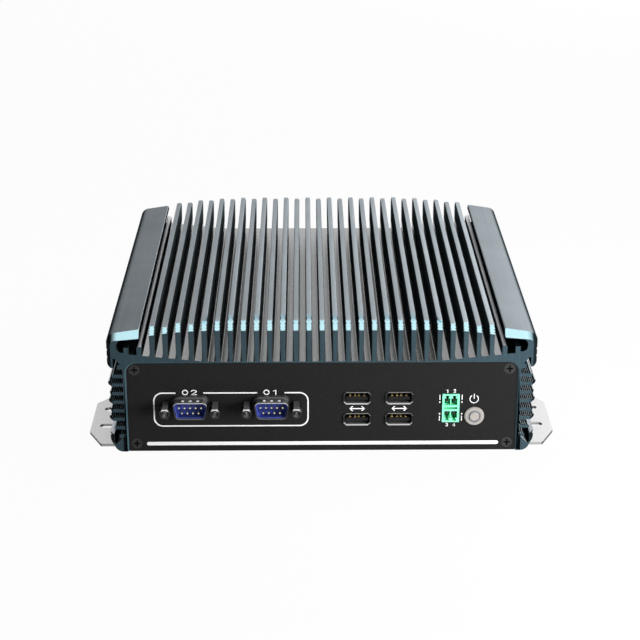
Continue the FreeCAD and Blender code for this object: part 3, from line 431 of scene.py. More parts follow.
finishes = {
    "anodised_body": extruded(),
    # Floors between the fins in a pale mirror-like copy of the anodise: painted light
    "fin_floor": anodised("floor_lit_anodised", floor_lit_colour, 0.85, 0.24, 0.0, 0.04),
    # Open half of the short ribs' tops in a pale mirror-like copy: painted light
    "rib_top": anodised("rib_top_lit_anodised", rib_top_lit_colour, 0.85, 0.45, 0.0, 0.04),
    # Fin sides in painted shade, painted paler towards the rear end as light from behind
    "fin_side": anodised("fin_side_shade_anodised", fin_side_shade_colour, rear=2.2),
    # Grooves and slots in a very dark copy of the anodise: painted shade
    "groove": anodised("groove_shade_anodised", groove_shade_colour),
    # Up-facing facets of the side ribs and the rib tips in pale copies of the anodise: painted glints
    "ridge": anodised("ridge_glint_anodised", ridge_glint_colour),
    "rib_tip": anodised("rib_tip_glint_anodised", tip_glint_colour, 0.85, 0.3, 0.0, 0.04),
    # Milled end faces and mouth, darker than the tops partly as painted shade
    "end_face": anodised("end_shade_anodised", end_shade_colour, relief=0.06, marks=cutter_marks, share=0.5),
    "mouth": anodised("mouth_shade_anodised", mouth_shade_colour, relief=0.06, marks=cutter_marks, share=0.5),
    "end_bevel": bevel(),
    "panel_black": powder_coat(),
    "bottom_plate_metal": steel("plate_aluminium", (0.42, 0.44, 0.46), (0.34, 0.36, 0.38), along_x),
    "ear_metal": ear(),
    "black_screw": black_screw(),
    # Nickel finishes with painted light: bright on what faces up, dark on what faces ahead or down
    "nickel_plate": lit_nickel("nickel_painted_light", 0.015, 0.17, 0.3, 0.9, 0.3),
    "bright_nickel": lit_nickel("bright_nickel", 0.06, 0.85),
    "dull_nickel": lit_nickel("dull_nickel", 0.05, 0.28, 0.0, 0.9),
    "lip_nickel": lit_nickel("lip_nickel", 0.025, 0.60, 0.0, 0.7),
    "screw_barrel": lit_nickel("screw_barrel", 0.012, 0.19, 0.6, 0.95, 0.2),
    "screw_chamfer": lit_nickel("screw_chamfer", 0.02, 0.85, 0.35, 0.6),
    "screw_bore": threaded(),
    "white_ink": ink(),
    # Dark tin for the terminal pins, standing for the shade they sit in: painted shade
    "tin_painted_shade": plated("tin_painted_shade", (0.10, 0.10, 0.09), 0.4),
    "blue_insert": moulded("blue_moulding", (0.075, 0.110, 0.46), 0.42, 0.5),
    "gold_contact": plated("gold_flash", (0.85, 0.60, 0.22), 0.22, 0.4),
    "pale_gold": plated("pale_gold", (0.80, 0.74, 0.52), 0.3),
    "terminal_green": moulded("mint_moulding", (0.27, 0.93, 0.57)),
    "button_metal": steel("turned_steel", (0.47, 0.435, 0.405), (0.41, 0.385, 0.36), along_y, 0.5),
    "light_ring": moulded("light_ring", (0.24, 0.25, 0.27), 0.3),
    "spring_steel": plated("spring_steel", (0.58, 0.58, 0.60), 0.3),
    "black_plastic": moulded("black_moulding", (0.012, 0.012, 0.012)),
    "board_green": board(),
    "brass_standoff": plated("brass", (0.75, 0.55, 0.22), 0.25),
    "chip_metal": plated("plated_lid", (0.62, 0.63, 0.65), 0.3),
    "spreader_aluminium": steel("milled_aluminium", (0.75, 0.76, 0.78), (0.64, 0.65, 0.67), along_y),
    "thermal_pad_grey": moulded("thermal_pad", (0.40, 0.43, 0.46), 0.8),
    "drive_case": moulded("drive_case", (0.10, 0.10, 0.11), 0.4),
}

# Solids whose finish is not that of their slot in the record
own_finishes = {
    "terminal_pins": "tin_painted_shade",
    "serial_port_1_pins": "pale_gold",
    "serial_port_2_pins": "pale_gold",
}


def dress_nodes():
    """Give every carried-over solid its own finish, or that of its slot in the record."""
    for entry in frame["record"]["subparts"]:
        mesh = nodes[entry["node"]].data
        mesh.materials.clear()
        mesh.materials.append(finishes[own_finishes.get(entry["node"], entry["material_slot"])].material)


def linked(name, data):
    """New object of some data, linked into the scene."""
    made = bpy.data.objects.new(name, data)
    bpy.context.scene.collection.objects.link(made)
    return made


# Mesh helpers, all in millimetres

def add_piece(name, points, faces, finish_names, slot, picks=None, body="computer", replaced=(), crease=32):
    """Mesh of points and faces: doubles merged, faces turned out, edges above the crease kept sharp."""
    mesh = bpy.data.meshes.new(name)
    mesh.from_pydata((np.asarray(points) * mm).tolist(), [], [list(map(int, face)) for face in faces])
    if picks is not None:
        mesh.polygons.foreach_set("material_index", np.asarray(picks, dtype=np.int32))
    work = bmesh.new()
    work.from_mesh(mesh)
    bmesh.ops.remove_doubles(work, verts=work.verts, dist=0.002 * mm)
    bmesh.ops.recalc_face_normals(work, faces=work.faces)
    work.to_mesh(mesh)
    work.free()
    for finish_name in finish_names:
        mesh.materials.append(finishes[finish_name].material)
    mesh.polygons.foreach_set("use_smooth", np.ones(len(mesh.polygons), dtype=bool))
    mesh.set_sharp_from_angle(angle=math.radians(crease))
    piece = linked(name, mesh)
    if body:
        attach(piece, body)
    if replaced:
        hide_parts(*replaced)
    return piece


square = [(-1, -1), (1, -1), (1, 1), (-1, 1)]


def unit(vectors):
    """Vectors divided by their lengths."""
    return vectors / np.linalg.norm(vectors, axis=-1, keepdims=True)


def cross(first, second):
    """Area between vectors of the plane, positive where the second lies to the left of the first."""
    return first[..., 0] * second[..., 1] - first[..., 1] * second[..., 0]


def in_space(spots, y):
    """Points of the section plane, (x, z), set at Y."""
    return np.stack([spots[:, 0], np.broadcast_to(y, len(spots)), spots[:, 1]], -1)


def repeated(counts):
    """Each index as often as its count says, and the number of each repeat from 0."""
    index = np.repeat(np.arange(len(counts)), counts)
    return index, np.arange(len(index)) - np.repeat(np.cumsum(counts) - counts, counts)


def rounded(corners, steps=8):
    """Outline of corners (x, z, radius): each is rounded by an arc about the point on its bisector that
    lies one radius from both its sides."""
    spots = np.array([corner[:2] for corner in corners], float)
    radii = np.array([corner[2] for corner in corners], float)
    back, ahead = unit(np.roll(spots, 1, 0) - spots), unit(np.roll(spots, -1, 0) - spots)
    half = np.arccos(np.clip((back * ahead).sum(1), -1, 1)) / 2
    centre = spots + unit(back + ahead) * (radii / np.sin(half))[:, None]
    start = spots + back * (radii / np.tan(half))[:, None] - centre
    finish = spots + ahead * (radii / np.tan(half))[:, None] - centre
    first = np.arctan2(start[:, 1], start[:, 0])
    turn = np.arctan2(finish[:, 1], finish[:, 0]) - first
    turn = (turn + math.pi) % math.tau - math.pi
    angle = first[:, None] + turn[:, None] * np.linspace(0, 1, steps + 1)
    arcs = centre[:, None] + radii[:, None, None] * np.stack([np.cos(angle), np.sin(angle)], -1)
    return np.concatenate([points if radius else points[:1] for points, radius in zip(arcs, radii)])


def inside(points, polygon):
    """Whether each point lies in a polygon: an odd number of the polygon's edges pass to its right."""
    start, end = polygon, np.roll(polygon, -1, 0)
    x, z = points[:, :1], points[:, 1:]
    spans = (start[:, 1] > z) != (end[:, 1] > z)
    rise = np.where(end[:, 1] == start[:, 1], 1, end[:, 1] - start[:, 1])
    edge_x = start[:, 0] + (z - start[:, 1]) * (end[:, 0] - start[:, 0]) / rise
    return (spans & (x < edge_x)).sum(1) % 2 == 1


def distance(points, line):
    """Distance of each point from a line of points: the least over the line's runs."""
    start, run = line[:-1], np.diff(line, axis=0)
    share = ((points[:, None] - start) * run).sum(2) / (run ** 2).sum(1)
    near = start + np.clip(share, 0, 1)[..., None] * run
    return np.linalg.norm(points[:, None] - near, axis=2).min(1)


def crossings(line, cutter):
    """Where two lines of points cross: places along the line and along the cutter, counted in runs."""
    start, run = line[:-1, None], np.diff(line, axis=0)[:, None]
    base, step = cutter[None, :-1], np.diff(cutter, axis=0)[None]
    area = cross(run, step)
    safe = np.where(area == 0, 1, area)
    along, across = cross(base - start, step) / safe, cross(base - start, run) / safe
    hit = (area != 0) & (along > 1e-6) & (along < 1 - 1e-6) & (across >= 0) & (across < 1)
    run_index, step_index = np.nonzero(hit)
    return run_index + along[hit], step_index + across[hit]


def at_places(line, places):
    """Points at places along a line, counted in runs."""
    whole = np.minimum(np.floor(places).astype(int), len(line) - 2)
    return line[whole] + (places - whole)[:, None] * (line[whole + 1] - line[whole])


def filled(outline, inner_points=(), inner_edges=()):
    """Triangles that fill an outline and keep the given edges inside it: points and corner indices."""
    count = len(outline)
    spots = [Vector(spot) for spot in outline] + [Vector(spot) for spot in inner_points]
    edges = [(count + a, count + b) for a, b in inner_edges]
    result = delaunay_2d_cdt(spots, edges, [list(range(count))], 1, 1e-4)
    return np.array([tuple(spot) for spot in result[0]]), np.array(result[2])


# Body: the extruded section carried from end to end

crown = {"flat": 40.0, "drop": 3.45, "edge": 4.9, "outer": 7.4, "shoulder": 5.0, "foot": 6.8}
end_crown = {"flat": 55.5, "drop": 2.55, "edge": 4.1, "outer": 5.45, "shoulder": 2.7, "foot": 4.5}
end_bevel_run = 3.8
end_bevel_top = 4.3
end_bevel_side = 2.3
crown_roll = 7.0
crown_roll_from = 0.6
panel_gap = 0.15
panel_corner = 5.0

# Serrations: pitch, depth of the grooves and height of the crests
fin_serration = (1.04, 0.32, 0.20)
floor_serration = (0.8, 0.06, 0.0)
rib_serration = (1.0, 0.34, 0.0)
rib_levels = (7, 46)
rib_lean = 0.4
fin_swell = 0.2
edge_strip = 1.0
fin_easing = 0.2
rib_easing = 0.9
wing_easing = 0.8
wall_face = 99.8

body_finishes = ["anodised_body", "fin_floor", "end_face", "end_bevel", "groove", "mouth", "ridge",
                 "rib_tip", "fin_side", "rib_top"]
pick = body_finishes.index


def contour(values, top, side):
    """Outside contour from the right foot over the top to the left foot: round foot, straight side, round
    shoulder, sloping wing, then an arc up to the level middle of the crown."""
    corner_x = (values["flat"] + fin_field) / 2
    turn = math.atan(values["drop"] / (fin_field - corner_x))
    crown_radius = (corner_x - values["flat"]) / math.tan(turn / 2)
    right = [(side, underside, values["foot"]), (side, top - values["outer"], values["shoulder"]),
             (wing_start, top - values["edge"], 0), (fin_field, top - values["drop"], 0),
             (corner_x, top, crown_radius)]
    left = [(-x, z, radius) for x, z, radius in reversed(right)]
    return rounded(right + left, 24)


def cut_section(node, y):
    """Section of a node across Y: each triangle that the plane crosses gives one edge, turned so that the
    metal lies on one hand, and the edges are chained end to end."""
    mesh = nodes[node].data
    points = np.empty(3 * len(mesh.vertices))
    mesh.vertices.foreach_get("co", points)
    corners = np.empty(len(mesh.loops), dtype=np.int32)
    mesh.loops.foreach_get("vertex_index", corners)
    triangles = points.reshape(-1, 3)[corners].reshape(-1, 3, 3) / mm
    beyond = triangles[:, :, 1] > y
    count = beyond.sum(1)
    crossed = (count == 1) | (count == 2)
    triangles, beyond, count = triangles[crossed], beyond[crossed], count[crossed]
    lone = np.where(count == 1, beyond.argmax(1), beyond.argmin(1))
    row = np.arange(len(triangles))
    tip, second, third = [triangles[row, (lone + step) % 3] for step in range(3)]
    ends = []
    for other in (second, third):
        share = (y - tip[:, 1]) / (other[:, 1] - tip[:, 1])
        ends.append((tip + share[:, None] * (other - tip))[:, [0, 2]])
    flip = (count == 2)[:, None]
    start, end = np.where(flip, ends[1], ends[0]), np.where(flip, ends[0], ends[1])
    following = {tuple(key): index for index, key in enumerate(np.round(start * 1e4).astype(int))}
    after = [following[tuple(key)] for key in np.round(end * 1e4).astype(int)]
    order = [0]
    while after[order[-1]] != 0:
        order.append(after[order[-1]])
    line = start[order]
    before, ahead = line - np.roll(line, 1, 0), np.roll(line, -1, 0) - line
    size = np.linalg.norm(before, axis=1) * np.linalg.norm(ahead, axis=1)
    line = line[np.abs(cross(before, ahead)) > 1e-4 * size + 1e-7]
    return line if cross(line, np.roll(line, -1, 0)).sum() > 0 else line[::-1]


def eased(line):
    """Fins swelled a little by moving their corners outwards, and the top edges of the fins, ribs and wings
    broken by a small curve: a corner becomes a quadratic curve that leaves its sides one easing away."""
    before, ahead = line - np.roll(line, 1, 0), np.roll(line, -1, 0) - line
    size_before, size_ahead = np.linalg.norm(before, axis=1), np.linalg.norm(ahead, axis=1)
    before, ahead = unit(before), unit(ahead)
    turn = cross(before, ahead)
    x, z = np.abs(line[:, 0]), line[:, 1]
    zones = [(fin_field + 1, fin_easing), (wing_start - 0.01, rib_easing), (wing_start + 0.01, wing_easing),
             (wing_start + 3, rib_easing)]
    easing = np.select([x < limit for limit, _ in zones], [size for _, size in zones], 0)
    roomy = (easing > 0) & (np.minimum(size_before, size_ahead) > 2 * easing)
    chosen = (turn > 0.6) & (z > fin_middle) & roomy
    count = np.where(chosen, 5, 1)
    on_fin = (np.abs(turn) > 0.6) & (z > fin_foot) & (x < fin_field + 1.2)
    swell = np.where(on_fin, fin_swell, 0) * np.sign(turn)
    line = line + swell[:, None] * (before * np.abs(before[:, :1]) - ahead * np.abs(ahead[:, :1]))
    index, step = repeated(count)
    share = step / 4
    weight = np.where(chosen, easing, 0)[index]
    start = -((1 - share) ** 2 * weight)[:, None] * before[index]
    finish = (share ** 2 * weight)[:, None] * ahead[index]
    return line[index] + start + finish


def serrated(line):
    """Fine V grooves on the fins' sides, the floors between them and the side ribs: along each chosen run
    every second point is set into the metal and the others stand out. A short rib's top is cut in four."""
    run = np.diff(line, axis=0)
    length = np.linalg.norm(run, axis=1)
    middle = (line[:-1] + line[1:]) / 2
    upright = np.abs(run[:, 0]) < 0.03 * length
    level = np.abs(run[:, 1]) < 0.10 * length
    x, z = np.abs(middle[:, 0]), middle[:, 1]
    in_fins = (x < fin_field + 1) & (z > fin_foot)
    on_fin = upright & in_fins & (length > 8)
    on_floor = level & in_fins & (z < fin_middle + 1) & (length > 2)
    on_rib = level & (x > wall_face + 0.2) & (length > 2.5) & (z > rib_levels[0]) & (z < rib_levels[1])
    on_rib_top = level & (np.abs(x - wing_start) < 0.1) & (z > fin_middle) & (z < wing_low)
    teeth = np.where(on_rib_top, 4, 1)
    groove, crest = np.zeros(len(run)), np.zeros(len(run))
    for chosen, (pitch, sunk, proud) in ((on_fin, fin_serration), (on_floor, floor_serration),
                                         (on_rib, rib_serration)):
        teeth[chosen] = 2 * np.round(length[chosen] / pitch).astype(int)
        groove[chosen], crest[chosen] = sunk, proud
    index, step = repeated(teeth)
    inwards = np.stack([-run[:, 1], run[:, 0]], -1) / length[:, None]
    lean = np.where(on_rib, rib_lean * np.sign(middle[:, 0]), 0)[index] * (step % 2)
    points = line[index] + ((step + lean) / teeth[index])[:, None] * run[index]
    inset = np.where(step % 2 == 1, groove[index], np.where(step > 0, -crest[index], 0))
    points += inset[:, None] * inwards[index]
    return np.concatenate([points, line[-1:]])


def panel_outline(grow):
    """Outline of the panel's seat from its right foot over the top to its left foot, grown all round."""
    half, top, radius = panel_high[0] + grow, panel_high[2] + grow, panel_corner + grow
    below = underside - 9
    line = rounded([(half, below, 0), (half, top, radius), (-half, top, radius), (-half, below, 0)])
    line[[0, -1], 1] = underside
    return line


def finned_body():
    """The serrated section carried from end to end. Each point starts behind the end by its share of the
    way from the bevel's end contour to the whole contour. The ends are filled with triangles, and the
    panel's seat is sunk into each with a chamfered mouth."""
    section = cut_section("body_extrusion", 30.0)
    foot = np.argmin(np.linalg.norm(section - (foot_half, underside), axis=1))
    section = np.roll(section, -foot, 0)
    far_foot = np.argmin(np.linalg.norm(section - (-foot_half, underside), axis=1))
    cavity = np.concatenate([section[far_foot:], section[:1]])
    mouth = panel_outline(panel_gap + panel_face - body_end)
    seat = panel_outline(panel_gap)
    outer = section[:far_foot + 1].copy()
    outer[0], outer[-1] = mouth[0], mouth[-1]
    outer = serrated(eased(outer))
    whole = contour(crown, body_high[2], body_half)
    end = contour(end_crown, body_high[2] - end_bevel_top, body_half - end_bevel_side)
    places, end_places = crossings(outer, end)
    outer = at_places(outer, np.sort(np.concatenate([np.arange(len(outer)), places])))
    met = at_places(end, end_places)

    def depth(points, sign):
        """How far behind the end each point starts; sign is -1 at the front and 1 at the rear."""
        to_end, to_whole = distance(points, end), distance(points, whole)
        flat = inside(points, end) | (to_end < 1e-4)
        share = np.where(flat, 0, to_end / np.maximum(to_end + to_whole, 1e-9))
        roll = np.maximum(share - crown_roll_from, 0) / (1 - crown_roll_from)
        roll *= (sign < 0) & (np.abs(points[:, 0]) < crown_roll_half)
        return end_bevel_run * share + crown_roll * roll

    cap_line = np.concatenate([outer, mouth[::-1][1:-1]])
    chain_places = np.concatenate([np.arange(len(end)), end_places])
    chain = np.concatenate([end, met])[np.argsort(chain_places)]
    links = np.stack([np.arange(len(chain) - 1), np.arange(1, len(chain))], -1)
    in_metal = inside((chain[:-1] + chain[1:]) / 2, cap_line)
    cap, cap_faces = filled(cap_line, chain, links[in_metal])
    seat_depth = panel_back - body_end
    shelf, shelf_faces = filled(np.concatenate([seat, cavity]))

    def placed(spots, depths, sign):
        return in_space(spots, sign * (-body_end - depths))

    parts, picks = [], []

    def add(points, faces, chosen):
        parts.append((points, faces))
        picks.extend(np.broadcast_to(chosen, len(faces)))

    in_cavity = np.full(len(cavity) - 1, pick("groove"))
    sweeps = [(outer, depth(outer, -1), depth(outer, 1), outer_picks(outer)),
              (cavity, seat_depth, seat_depth, in_cavity)]
    for line, front, back, chosen in sweeps:
        rows = [placed(line, front, -1), placed(line, front + edge_strip, -1),
                placed(line, back + edge_strip, 1), placed(line, back, 1)]
        add(np.concatenate(rows), grid_faces(4, len(line)), np.tile(chosen, 3))
    mouth_depth = panel_face - body_end
    for sign in (-1, 1):
        cap_depth = depth(cap, sign)
        sloping = (cap_depth[cap_faces] > 1e-3).any(1)
        add(placed(cap, cap_depth, sign), cap_faces, np.where(sloping, pick("end_bevel"), pick("end_face")))
        add(placed(shelf, seat_depth, sign), shelf_faces, pick("end_face"))
        rims = [placed(mouth, 0, sign), placed(seat, mouth_depth, sign), placed(seat, seat_depth, sign)]
        add(np.concatenate(rims), grid_faces(3, len(mouth)), pick("mouth"))
    sunk = np.array([0, edge_strip, seat_depth + edge_strip, seat_depth, seat_depth, mouth_depth])
    for side in (-1, 1):
        x = side * np.repeat([mouth[0, 0], foot_half, seat[0, 0]], 2)
        front = np.stack([x, body_end + sunk, np.full(6, underside)], -1)
        back = front * (1, -1, 1)
        for face in (front, back, np.stack([front[1], front[2], back[2], back[1]])):
            add(face, [np.arange(len(face))], pick("end_face"))
    add_piece("finned_body", *joined(parts), body_finishes, "anodised_body", picks,
              replaced=["body_extrusion"], crease=20)


def outer_picks(outer):
    """Finish of each run of the outer line, by its place and by how far it faces up and outwards, from -1
    to 1: the first choice that holds, and the groove's painted shade where none does. Choosing by facing
    paints light and shade: glints on the side ribs, painted light on the fin floors and the open half of
    the short ribs' tops, and painted shade on the fin sides, under the wings and on the underside."""
    run, middle = np.diff(outer, axis=0), (outer[:-1] + outer[1:]) / 2
    length = np.linalg.norm(run, axis=1)
    x, z = np.abs(middle[:, 0]), middle[:, 1]
    up = -run[:, 0] / length
    outwards = run[:, 1] / length * np.sign(middle[:, 0])
    on_fin = x < fin_field + 1
    crest = on_fin & (z > fin_middle) & (up > 0.99)
    nearest = np.abs(middle[:, :1] - middle[crest, 0]).argmin(1)
    lowest = np.where(on_fin, middle[crest, 1][nearest] - fin_easing, wing_low)
    top = (z > np.maximum(lowest, fin_middle)) & ((up > 0.45) | ((x > wall_face + 0.2) & (up > 0.02)))
    top |= on_fin & (z > fin_middle) & (up > 0.9)
    facing = (x > wall_face) & (z < fin_foot) & (up > 0.3) & (outwards > 0.2)
    inner = x < body_half - 1.6
    lowest_rib = (x > body_half - 2.4) & (z > rib_low) & (z < rib_low + 4) & (up > 0.9)
    rib_top = (np.abs(x - wing_start) < 1.3) & (z > fin_middle) & (z < wing_low) & (up > 0.45)
    # The short ribs' tops: the open half painted light, the half under the wing painted shade
    chosen = [
        ("rib_top", rib_top & (x < wing_start + 0.55)),
        ("groove", rib_top),
        ("anodised_body", top),
        ("fin_floor", (x < wing_start) & (z > fin_foot) & (z < fin_middle) & (up > 0.6)),
        ("ridge", facing & inner),
        ("rib_tip", (facing & ~inner) | lowest_rib),
        ("end_face", (z < underside + 4) & (up < 0.1)),
        ("fin_side", on_fin & (z > fin_foot)),
    ]
    return np.select([where for _, where in chosen], [pick(name) for name, _ in chosen], pick("groove"))


def grid_faces(rows, columns, closed=False):
    """Quads between the rows of a grid of points, one point after another along each row."""
    row = np.arange(rows - 1)[:, None] * columns
    column = np.arange(columns if closed else columns - 1)[None]
    after = (column + 1) % columns
    quads = np.stack([row + column, row + after, row + columns + after, row + columns + column], -1)
    return quads.reshape(-1, 4)


# Ports, jackscrews and printed marks

shell_width = 18.2
shell_tall = 9.2
shell_corner = 2.6
shell_slant = math.tan(math.radians(10))
shell_reach = 7.0
shell_wall = 0.5
collar_margin = 1.0
collar_reach = 1.3
flare_rise = 1.7
flare_sunk = 0.1
lip_bead = 0.30
dimple = (0.95, 0.80, 0.75)
dimple_pitch = 3.75
dimple_from_rim = 2.1
screw_spacing = 24.99
screw_flats = 4.9
screw_reach = 10.5
screw_face = 2.05
screw_bore = 1.3
screw_bore_depth = 6.5
screw_bore_chamfer = 0.35
screw_chamfer_slope = math.tan(math.radians(38))
screw_sides = 96
screw_centre = 0.01
screw_stud = 1.45
screw_stud_length = 6.0
host_opening = (12.5, 5.2, 0.75)


def middle_of(node):
    """Middle of a node in X and Z."""
    low, high = node_box(node)
    return (low[0] + high[0]) / 2, (low[2] + high[2]) / 2


serial_places = [middle_of("serial_port_1_shell"), middle_of("serial_port_2_shell")]
video_place = middle_of("video_port_shell")
host_places = [middle_of("host_port_%d_shell" % number) for number in (1, 2, 3, 4)]
terminal_place = middle_of("terminal_block")
button_place = middle_of("power_button_bezel")


def carried(outlines, depths):
    """A profile carried round an outline: one row of points for each outline and its Y."""
    rows = [in_space(line, y) for line, y in zip(outlines, depths)]
    return np.concatenate(rows), grid_faces(len(rows), len(rows[0]), True)


def shell_outline(place, grow):
    """D-shaped outline, wide at the top with sides that slant in, grown all round."""
    width, tall = shell_width + 2 * grow, shell_tall + 2 * grow
    top, low = width / 2, width / 2 - tall * shell_slant
    x, z = place
    corner = shell_corner + grow
    return rounded([(x - low, z - tall / 2, corner), (x + low, z - tall / 2, corner),
                    (x + top, z + tall / 2, corner), (x - top, z + tall / 2, corner)], 10)


def joined(parts):
    """Points and faces of several meshes as one."""
    counts = np.cumsum([0] + [len(points) for points, faces in parts])
    points = np.concatenate([points for points, faces in parts])
    faces = [face + count for (_, part), count in zip(parts, counts) for face in part]
    return points, faces


def lip_and_flare(place, face, out):
    """Rolled lip: a round bead carried along the shell's rim. Flare: a quarter of an ellipse carried round
    the shell's base, hollow side out."""
    turn = np.linspace(0, math.tau, 17)
    rim = face + out * shell_reach
    bead = [shell_outline(place, -shell_wall / 2 + lip_bead * math.sin(a)) for a in turn]
    lip = carried(bead, rim + lip_bead * np.cos(turn))
    bend = np.linspace(0, math.pi / 2, 9)
    base = collar_margin + 0.02
    grow = [base, *(base - np.sin(bend)), -0.2, -0.2, base]
    curve = collar_reach - flare_sunk + flare_rise * (1 - np.cos(bend))
    rise = np.array([flare_sunk, *curve, collar_reach + 1.6, flare_sunk, flare_sunk])
    flare = carried([shell_outline(place, g) for g in grow], face + out * rise)
    return lip, flare


def dimples(place, face, out):
    """Stamped dimples near the rim, above and below: flat ellipsoids half sunk into the shell."""
    along, around = np.meshgrid(np.linspace(0, math.pi, 11), np.linspace(0, math.tau, 21), indexing="ij")
    ball = np.stack([np.sin(along) * np.cos(around), np.sin(along) * np.sin(around), np.cos(along)], -1)
    y = face + out * (shell_reach - dimple_from_rim)
    places = [(place[0] + step * dimple_pitch, y, place[1] + side * shell_tall / 2)
              for side in (-1, 1) for step in (-1, 0, 1)]
    return joined([(ball.reshape(-1, 3) * dimple + spot, grid_faces(11, 21)) for spot in places])


def connector_trim(name, place, face, out):
    """Lip, flare and dimples of one connector shell."""
    lip, flare = lip_and_flare(place, face, out)
    # Upper part of the lip in the painted highlight, the rest in painted shade
    upper = lip[0][lip[1]][:, :, 2].mean(1) > place[1] + 0.3 * shell_tall
    add_piece(name + "_lip", *lip, ["dull_nickel", "bright_nickel"], "nickel_plate", upper)
    add_piece(name + "_flare", *flare, ["nickel_plate"], "nickel_plate")
    add_piece(name + "_dimples", *dimples(place, face, out), ["bright_nickel"], "nickel_plate")


def jackscrew(place, face, out):
    """Hexagonal jackscrew: a profile turned about Y, from the stud over the hexagon and the end chamfer's
    cone to the end face and down the bore; at each angle its radius is held within the hexagon's."""
    angle = np.arange(screw_sides) * (math.tau / screw_sides)
    hexagon = screw_flats / 2 / np.cos(angle % (math.pi / 3) - math.pi / 6)
    corner = screw_flats / 2 / math.cos(math.pi / 6)
    cone = np.linspace(corner, screw_face, 7)
    foot, floor = -screw_stud_length, screw_reach - screw_bore_depth
    profile = [(screw_centre, foot), (screw_stud, foot), (screw_stud, 0), (corner, 0)]
    profile += list(zip(cone, screw_reach + (screw_face - cone) * screw_chamfer_slope))
    mouth = screw_bore_chamfer
    profile += [(screw_bore + mouth, screw_reach), (screw_bore, screw_reach - mouth), (screw_bore, floor),
                (screw_centre, floor)]
    radii, heights = np.array(profile).T[..., None]
    radii = np.minimum(radii, hexagon)
    x, z = place[0] + radii * np.cos(angle), place[1] + radii * np.sin(angle)
    y = np.broadcast_to(face + out * heights, x.shape)
    picks = np.repeat([0, 0, 0, 0] + [1] * 6 + [2, 2, 3, 3], screw_sides)
    return np.stack([x, y, z], -1).reshape(-1, 3), grid_faces(len(radii), screw_sides, True), picks


def jackscrews(name, places, face, out, node):
    """Two jackscrews for each connector, in place of a node."""
    screws = [jackscrew((x + side * screw_spacing / 2, z), face, out)
              for x, z in places for side in (-1, 1)]
    points, faces = joined([screw[:2] for screw in screws])
    # Barrel and chamfer painted bright where they face up: painted highlight
    add_piece(name, points, faces, ["screw_barrel", "screw_chamfer", "nickel_plate", "screw_bore"],
              "nickel_plate", np.concatenate([screw[2] for screw in screws]), replaced=[node], crease=28)


def host_lips():
    """Flared lips of the host ports: a profile, by steps out from the opening and ahead of the shell,
    carried round a chamfered rectangle."""
    width, tall, corner = host_opening
    frame_face = node_box("host_port_1_shell")[0][1]
    profile = [(0.03, 0.0), (0.60, 0.45), (0.70, 0.47), (0.79, 0.38), (0.79, -0.1), (0.03, -0.1),
               (0.03, 0.0)]
    parts = []
    for x, z in host_places:
        lines = []
        for grow, rise in profile:
            half, high, radius = width / 2 + grow, tall / 2 + grow, corner + grow
            lines.append(rounded([(x + a * half, z + b * high, radius) for a, b in square], 1))
        parts.append(carried(lines, [frame_face - rise for grow, rise in profile]))
    add_piece("host_port_lips", *joined(parts), ["lip_nickel"], "nickel_plate", crease=20)


spring_wire = 0.45
spring_turns = 5


def return_spring():
    """Coil of the button's spring: a round wire carried along a helix."""
    low, high = node_box("power_button_spring")
    x, _, z = (low + high) / 2
    wire, steps, sides = spring_wire / 2, 160, 12
    turn = np.linspace(0, math.tau * spring_turns, steps + 1)[:, None]
    along = np.linspace(low[1] + wire, high[1] - wire, steps + 1)[:, None]
    around = np.arange(sides) * (math.tau / sides)
    reach = (high[0] - low[0]) / 2 - wire + wire * np.cos(around)
    y = along + wire * np.sin(around)
    points = np.stack([x + reach * np.cos(turn), y, z + reach * np.sin(turn)], -1)
    faces = [*grid_faces(steps + 1, sides, True), np.arange(sides), np.arange(sides) + sides * steps]
    spring = add_piece("return_spring", points.reshape(-1, 3), faces, ["spring_steel"], "spring_steel",
                       body=None, replaced=["power_button_spring"])
    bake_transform(spring)


# Printed marks, their levels measured from the underside
ink_height = 0.06
stripe_level = 4.1
stripe_width = 1.95
frame_left, frame_right = -84.8, -7.1
frame_low, frame_high = 13.95, 32.15
frame_corner = 4.4
frame_width = 0.68
frame_gaps = [(-74.0, -59.5), (-33.0, -18.6)]
bar_from_middle = 5.6
symbol_level = 28.3
symbol_radius = 2.15
symbol_width = 0.36
arrow_width = 0.5


def stroke(path, width):
    """A printed line: a low rectangle carried along a path and drawn in to a half circle at both ends."""
    path = np.asarray(path, float)
    half = width / 2
    round_end = np.linspace(0, math.pi / 2, 7)[:-1]
    rounding = np.maximum(half * np.sin(round_end), 0.02 * half)
    widths = np.concatenate([rounding, np.full(len(path), half), rounding[::-1]])
    first, last = unit(path[0] - path[1]), unit(path[-1] - path[-2])
    out = half * np.cos(round_end)[:, None]
    path = np.concatenate([path[0] + out * first, path, path[-1] + out[::-1] * last])
    ahead = unit(np.gradient(path, axis=0))
    across = np.stack([-ahead[:, 1], ahead[:, 0]], -1) * widths[:, None]
    left, right = path + across, path - across
    rows = len(path)
    sunk, proud = panel_face + ink_height, panel_face - ink_height
    section = [(left, sunk), (left, proud), (right, proud), (right, sunk)]
    points = np.stack([in_space(line, y) for line, y in section], 1).reshape(-1, 3)
    return points, [*grid_faces(rows, 4, True), np.arange(4), np.arange(4) + 4 * (rows - 1)]


def arc(x, z, radius_x, radius_z, start, end, steps=24):
    """Points of an ellipse's arc between two angles in degrees."""
    angle = np.radians(np.linspace(start, end, steps + 1))
    return np.stack([x + radius_x * np.cos(angle), z + radius_z * np.sin(angle)], -1)


